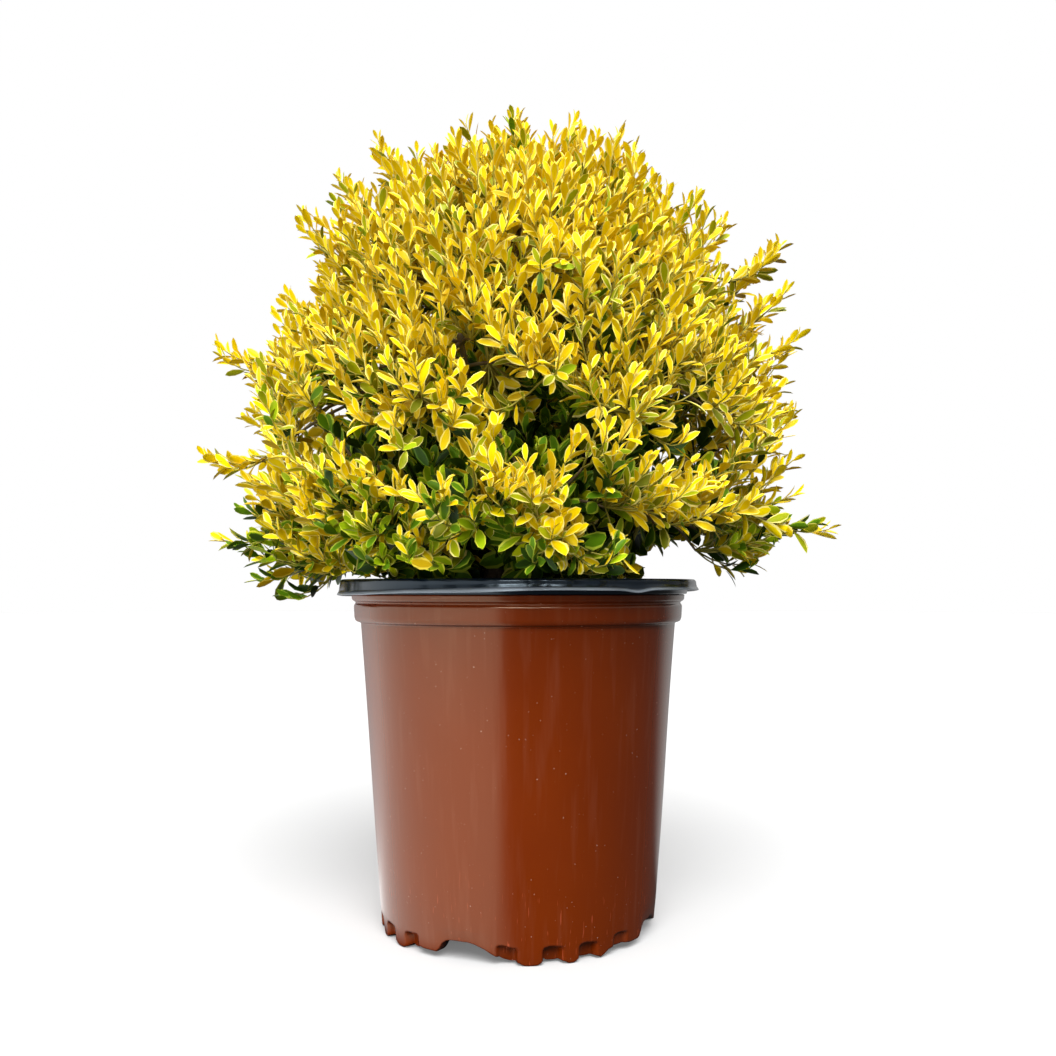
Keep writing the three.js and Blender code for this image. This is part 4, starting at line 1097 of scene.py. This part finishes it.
joints = twig_paths[:, 2:].reshape(-1, 3)
joint_mass = np.repeat(twig_mass, TWIG_STEPS - 2)
shoot_mass = nearest_mass(shoot_tip)
wanted = shoot_tip - SHOOT_LENGTH * shoot_way
other_mass = shoot_mass[:, None] != joint_mass[None]
table = np.linalg.norm(wanted[:, None] - joints[None], axis=-1) + OTHER_MASS_AWAY * other_mass
shoot_start = joints[np.argmin(table, axis=1)]
shoot_span = np.linalg.norm(shoot_tip - shoot_start, axis=1, keepdims=True)
shoot_bend = shoot_tip - SHOOT_BEND_AT * shoot_span * shoot_way
on_the_way = bezier(shoot_start, shoot_bend, shoot_tip, CHECKED_AT)
stays_clear = in_reach(on_the_way).all(axis=1) & ~in_gap(on_the_way[:, :-1]).any(axis=1)
shoot_tip, shoot_way, shoot_inner, shoot_mass, shoot_start, shoot_span, shoot_bend = (
    values[stays_clear]
    for values in (shoot_tip, shoot_way, shoot_inner, shoot_mass, shoot_start, shoot_span, shoot_bend)
)
print(f"shoots are {shoot_span.mean():.0f} mm long on average, {shoot_span.max():.0f} at most")

# %% [markdown]
# Old twigs are grey-brown and this year's shoots are olive. Both are plain colours: the pieces are
# joined from thousands of tubes a millimetre thick, where a pattern wouldn't show.

# %% Twigs and shoots as one mesh
MASS_STEM_RADII, TWIG_RADII, SHOOT_RADII = (2.1, 1.7), (1.25, 0.75), (0.7, 0.35)
SHOOT_STEPS = 6


def tapering_tubes(paths, radii, sides):
    """Tubes whose radius falls evenly along the path, from the first of two radii to the second."""
    return tubes(paths, np.linspace(*radii, paths.shape[1])[None] + np.zeros((len(paths), 1)), sides)


twig_bark, _, _ = new_finish("grey_brown_twig", "#6A5A3A", 0.7)
green_bark, _, _ = new_finish("olive_shoot", "#A39A3C", 0.55)
shoot_paths = bezier(shoot_start, shoot_bend, shoot_tip, np.linspace(0, 1, SHOOT_STEPS))
old_wood = [tapering_tubes(mass_stems, MASS_STEM_RADII, 8), tapering_tubes(twig_paths, TWIG_RADII, 5)]
new_wood = [tapering_tubes(shoot_paths, SHOOT_RADII, 3)]
wood_points, wood_blocks = joined([*old_wood, *new_wood])
old_blocks = 2 * len(old_wood)
wood_finish = np.concatenate([np.full(len(block), i >= old_blocks) for i, block in enumerate(wood_blocks)])
twigs = make_piece("twigs_and_shoots", wood_points, wood_blocks, [twig_bark, green_bark], wood_finish)
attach(twigs, "root")

# %% [markdown]
# ## One leaf
# A leaf of this holly is a pointed oval, 8 to 18 mm long and a little under half as wide, folded a
# little along its midrib and curled back at its tip. It is variegated: the middle has one colour and
# the margin a paler one. A leaf of 24 triangles can show all that: five points across it, so the
# outer strips are the margin and the inner ones the middle, each with its own plain material. Real
# leaves have no thickness to speak of at this size, so each is a single sheet.

# %% The leaf's pattern
ROW_AT = np.array([0.23, 0.56, 0.85])
ROW_HALF = np.array([0.62, 1.0, 0.72])
ACROSS = np.array([-1, -0.5, 0, 0.5, 1])

rows, per_row = len(ROW_AT), len(ACROSS)
leaf_u = np.concatenate([[0], np.repeat(ROW_AT, per_row), [1]])
leaf_half = np.concatenate([[0], np.repeat(ROW_HALF, per_row), [0]])
leaf_v = np.concatenate([[0], np.tile(ACROSS, rows), [0]])
is_inner = np.abs(leaf_v) == ACROSS[3]
strip = np.arange(per_row - 1)
row_starts = 1 + per_row * np.arange(rows)
leaf_tip = 1 + rows * per_row
base_fan = np.stack([0 * strip, 1 + strip, 2 + strip], axis=1)
tip_fan = np.stack([row_starts[-1] + strip, leaf_tip + 0 * strip, row_starts[-1] + strip + 1], axis=1)
leaf_quads = np.vstack([
    np.stack([start + strip, start + strip + per_row, start + strip + per_row + 1, start + strip + 1], axis=1)
    for start in row_starts[:-1]
])
LEAF_BLOCKS = [leaf_quads, np.vstack([base_fan, tip_fan])]
STRIP_IS_MIDDLE = np.array([0, 1, 1, 0])
print(f"a leaf has {len(leaf_u)} points and {len(leaf_quads)} quads, with a fan of triangles at each end")


# %% Points of the leaves
def leaf_points(root, along, face, length, width, margin, fold, curl):
    """Each leaf's 17 points: u along it, v across it, raised by fold |v| and dropped by curl u^2.

    margin is the share of the half width where the middle ends and the paler edge begins.
    """
    side = np.cross(face, along)
    v = np.where(is_inner, np.sign(leaf_v) * margin[:, None], leaf_v)
    across = leaf_half * v * width[:, None] / 2
    raised = fold[:, None] * np.abs(across) - curl[:, None] * length[:, None] * leaf_u ** 2
    forward = leaf_u * length[:, None]
    return (
        root[:, None] + along[:, None] * forward[..., None] + side[:, None] * across[..., None]
        + face[:, None] * raised[..., None]
    )


# %% [markdown]
# ## Leaves along the shoots
# The leaves stand in a spiral, each turned on by the golden angle, close together at the tip and
# wider apart below. Those at the tip are small and nearly upright, and those further down are larger
# and lie flatter. All turn their upper faces towards the tip and a little to the sky. On low shoots,
# in the shade, leaves are larger, rounder and further apart.

# %% Places of the leaves
LEAVES_PER_SHOOT = 14
FIRST_LEAF, LEAF_STEP, STEP_GROWTH = 0.6, 2.5, 0.07
LOW_BETWEEN, LOW_SPREADS = (225, 330), 0.2

shoots = len(shoot_tip)
rank = np.arange(LEAVES_PER_SHOOT)[None, :]
lowness = 1 - smoothstep(*LOW_BETWEEN, shoot_tip[:, 2:])
from_tip = (FIRST_LEAF + LEAF_STEP * rank + STEP_GROWTH * rank ** 2) * (1 + LOW_SPREADS * lowness)
at = np.clip(1 - from_tip / shoot_span, 0, 1)
spot = bezier(shoot_start, shoot_bend, shoot_tip, at)
first_half, last_half = (shoot_bend - shoot_start)[:, None], (shoot_tip - shoot_bend)[:, None]
ahead = unit((1 - at)[..., None] * first_half + at[..., None] * last_half)
print(f"leaves stand {from_tip[:, 0].min():.1f} to {from_tip[:, -1].max():.0f} mm from their shoot's tip")

# %% Ways of the leaves
TURN_SCATTER = 0.25
ANGLE_AT_TIP, ANGLE_MORE, ANGLE_BETWEEN, ANGLE_SCATTER = 20, 30, (0, 9), 7
ALONG_UP, FACING_UP, ROLL_SCATTER = 0.12, 0.3, 0.3

helper = np.eye(3)[np.argmin(np.abs(shoot_way), axis=1)][:, None]
first = unit(np.cross(ahead, helper))
second = np.cross(ahead, first)
spiral = rank * GOLDEN_TURN + random.uniform(0, 2 * np.pi, (shoots, 1))
spiral = spiral + random.normal(0, TURN_SCATTER, (shoots, LEAVES_PER_SHOOT))
out = first * np.cos(spiral)[..., None] + second * np.sin(spiral)[..., None]
angle = ANGLE_AT_TIP + ANGLE_MORE * smoothstep(*ANGLE_BETWEEN, rank)
rise = np.radians(angle + random.normal(0, ANGLE_SCATTER, (shoots, LEAVES_PER_SHOOT)))[..., None]
along = unit(np.cos(rise) * ahead + np.sin(rise) * out + ALONG_UP * UP)
facing = np.sin(rise) * ahead - np.cos(rise) * out + FACING_UP * UP
facing = unit(facing - (facing * along).sum(-1, keepdims=True) * along)
roll = random.normal(0, ROLL_SCATTER, (shoots, LEAVES_PER_SHOOT, 1))
facing = np.cos(roll) * facing + np.sin(roll) * np.cross(facing, along)
print(f"leaves stand {np.degrees(rise).mean():.0f} degrees away from their shoot on average")

# %% Sizes of the leaves
LEAF_LENGTH, LENGTH_SCATTER = 12.6, (0.82, 1.16)
YOUNG_SIZE, GROWTH, GROWN_BETWEEN = 0.58, 0.42, (-1, 4)
INNER_LONGER, LOW_LONGER = 1.2, 0.18
ROUNDNESS, ROUNDNESS_SCATTER, ROUNDNESS_LIMITS = 0.39, 0.04, (0.36, 0.56)
INNER_ROUNDER, LOW_ROUNDER = 0.1, 0.04
BARE_FOOT, INNER_LEAVES, ODDS_OF_NONE_IN_GAP = 3, 9, 0.85

inner = shoot_inner[:, None]
young = YOUNG_SIZE + GROWTH * smoothstep(*GROWN_BETWEEN, rank)
leaf_length = LEAF_LENGTH * young * random.uniform(*LENGTH_SCATTER, (shoots, LEAVES_PER_SHOOT))
leaf_length = leaf_length * np.where(inner, INNER_LONGER, 1) * (1 + LOW_LONGER * lowness)
roundness = np.clip(random.normal(ROUNDNESS, ROUNDNESS_SCATTER, (shoots, 1)), *ROUNDNESS_LIMITS)
leaf_width = leaf_length * (roundness + np.where(inner, INNER_ROUNDER, 0) + LOW_ROUNDER * lowness)
grows = (from_tip < shoot_span - BARE_FOOT) & (~inner | (rank < INNER_LEAVES))
left_out = random.random((shoots, LEAVES_PER_SHOOT)) < ODDS_OF_NONE_IN_GAP
grows = grows & ~(in_gap(spot) & left_out)
print(f"room for {int(grows.sum())} leaves")

# %% [markdown]
# ## Colours, dealt out by spray
# High up and outside, whole shoots are gold with pale lemon edges. Some keep an olive middle. Low
# down and inside, in the shade, they turn lime and then dark green. That greening is the plant's own,
# but the darker kinds, amber, olive and dark green, also stand in for the shade itself: painted shade.
# So each shoot draws one of four palettes, with odds that depend on its height and depth, and each of
# its leaves then draws a kind from that palette: the youngest leaves, at the tips, are the brightest,
# and the darker kinds further down the shoot are partly painted shade. A kind is two plain materials,
# one for the margin and one for the middle. A holly leaf has a thin coat of wax, which gives it a
# soft, faint gloss at this age.

# %% Kinds of leaf
# Amber, olive and dark green are partly painted shade: they darken the leaves where shade falls.
LEAF_KINDS = [
    ("bright", "#FFF18E", "#FCE100"),
    ("gold", "#F8E674", "#EACA00"),
    ("amber", "#E6CF46", "#C4A100"),
    ("olive", "#CFC75E", "#7C820A"),
    ("striped", "#F6EA8A", "#A2AA0A"),
    ("lime", "#DCE044", "#98B20A"),
    ("green", "#A4B434", "#52780A"),
    ("dark_green", "#3C580F", "#203606"),
]
WAX_ROUGHNESS, WAX_GLOSS = 0.46, 0.19

leaf_finishes = [
    new_finish(f"{kind}_leaf_{part}", colour, WAX_ROUGHNESS)[0]
    for kind, margin, middle in LEAF_KINDS
    for part, colour in (("margin", margin), ("middle", middle))
]
for finish in leaf_finishes:
    finish.node_tree.nodes["Principled BSDF"].inputs["Specular IOR Level"].default_value = WAX_GLOSS
print(f"made {len(leaf_finishes)} materials for {len(LEAF_KINDS)} kinds of leaf")

# %% Palettes and odds
# Later stages, and low and inner shoots, lean to the darker kinds, which is partly painted shade.
PALETTES = np.array([
    [[70, 28, 0, 0, 2, 0, 0, 0], [24, 56, 8, 2, 10, 0, 0, 0], [3, 30, 24, 20, 14, 3, 4, 2]],
    [[30, 45, 0, 0, 25, 0, 0, 0], [5, 24, 5, 6, 52, 6, 2, 0], [0, 8, 12, 18, 30, 6, 18, 8]],
    [[30, 5, 0, 0, 15, 50, 0, 0], [6, 6, 2, 2, 16, 52, 16, 0], [0, 2, 2, 6, 8, 20, 36, 26]],
    [[0, 4, 0, 0, 6, 26, 50, 14], [0, 2, 2, 2, 4, 6, 42, 42], [0, 0, 2, 2, 2, 2, 22, 70]],
]) / 100
OUTER_ODDS_LOW = np.array([[0.28, 0.16, 0.26, 0.30]])
OUTER_ODDS_HIGH = np.array([[0.915, 0.08, 0.005, 0]])
INNER_ODDS_LOW = np.array([[0.02, 0.04, 0.08, 0.86]])
INNER_ODDS_HIGH = np.array([[0.60, 0.20, 0.03, 0.17]])
OUTER_GOLD_BETWEEN, INNER_GOLD_BETWEEN = (225, 282), (270, 385)
STAGES_FROM = (3, 9)

high_outside = smoothstep(*OUTER_GOLD_BETWEEN, shoot_tip[:, 2:])
high_inside = smoothstep(*INNER_GOLD_BETWEEN, shoot_tip[:, 2:])
outer_odds = OUTER_ODDS_LOW + (OUTER_ODDS_HIGH - OUTER_ODDS_LOW) * high_outside
inner_odds = INNER_ODDS_LOW + (INNER_ODDS_HIGH - INNER_ODDS_LOW) * high_inside
odds = np.where(inner, inner_odds, outer_odds)
past_odds = random.random((shoots, 1)) > np.cumsum(odds, axis=1)
palette = np.minimum(past_odds.sum(axis=1), len(PALETTES) - 1)
stage_of_leaf = np.digitize(rank[0], STAGES_FROM)
leaf_odds = np.cumsum(PALETTES[palette][:, stage_of_leaf], axis=-1)
draw = random.random((shoots, LEAVES_PER_SHOOT, 1))
kind = np.minimum((draw > leaf_odds).sum(axis=-1), len(LEAF_KINDS) - 1)
print("leaves of each kind:", dict(zip([k[0] for k in LEAF_KINDS], np.bincount(kind[grows]))))

# %% [markdown]
# ## The masses' leaves
# All the leaves of one mass are joined into one mesh, which stands for that mass of the CAD model.
# A leaf is dropped if any of its points would leave the crown's reach or enter the pot.

# %% Leaves as meshes
ON_TWIG_SURFACE = 0.5
MARGIN_FROM, FOLD, CURL = (0.6, 0.84), (0.12, 0.5), (0.02, 0.2)


def flat(values):
    """The values of the leaves that grow, in one row."""
    return np.broadcast_to(values, (shoots, LEAVES_PER_SHOOT, *values.shape[2:]))[grows]


count = int(grows.sum())
points = leaf_points(
    flat(spot + ON_TWIG_SURFACE * out), flat(along), flat(facing), flat(leaf_length), flat(leaf_width),
    random.uniform(*MARGIN_FROM, count), random.uniform(*FOLD, count), random.uniform(*CURL, count),
)
fits = in_reach(points).all(axis=1)
leaf_mass = flat(shoot_mass[:, None])
leaf_kind = flat(kind)
total = 0
for number, mass in enumerate(masses):
    mine = fits & (leaf_mass == number)
    blocks = repeated(LEAF_BLOCKS, int(mine.sum()), len(leaf_u))
    kind_of_face = np.tile(np.repeat(leaf_kind[mine], len(leaf_quads)), len(LEAF_BLOCKS))
    is_middle = np.tile(STRIP_IS_MIDDLE, len(kind_of_face) // len(STRIP_IS_MIDDLE))
    finish = 2 * kind_of_face + is_middle
    leaves = make_piece(f"leaves_{mass}", points[mine].reshape(-1, 3), blocks, leaf_finishes, finish)
    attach(leaves, "root")
    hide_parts(f"foliage_{mass}")
    total += int(mine.sum())
print(f"{total} leaves in all")
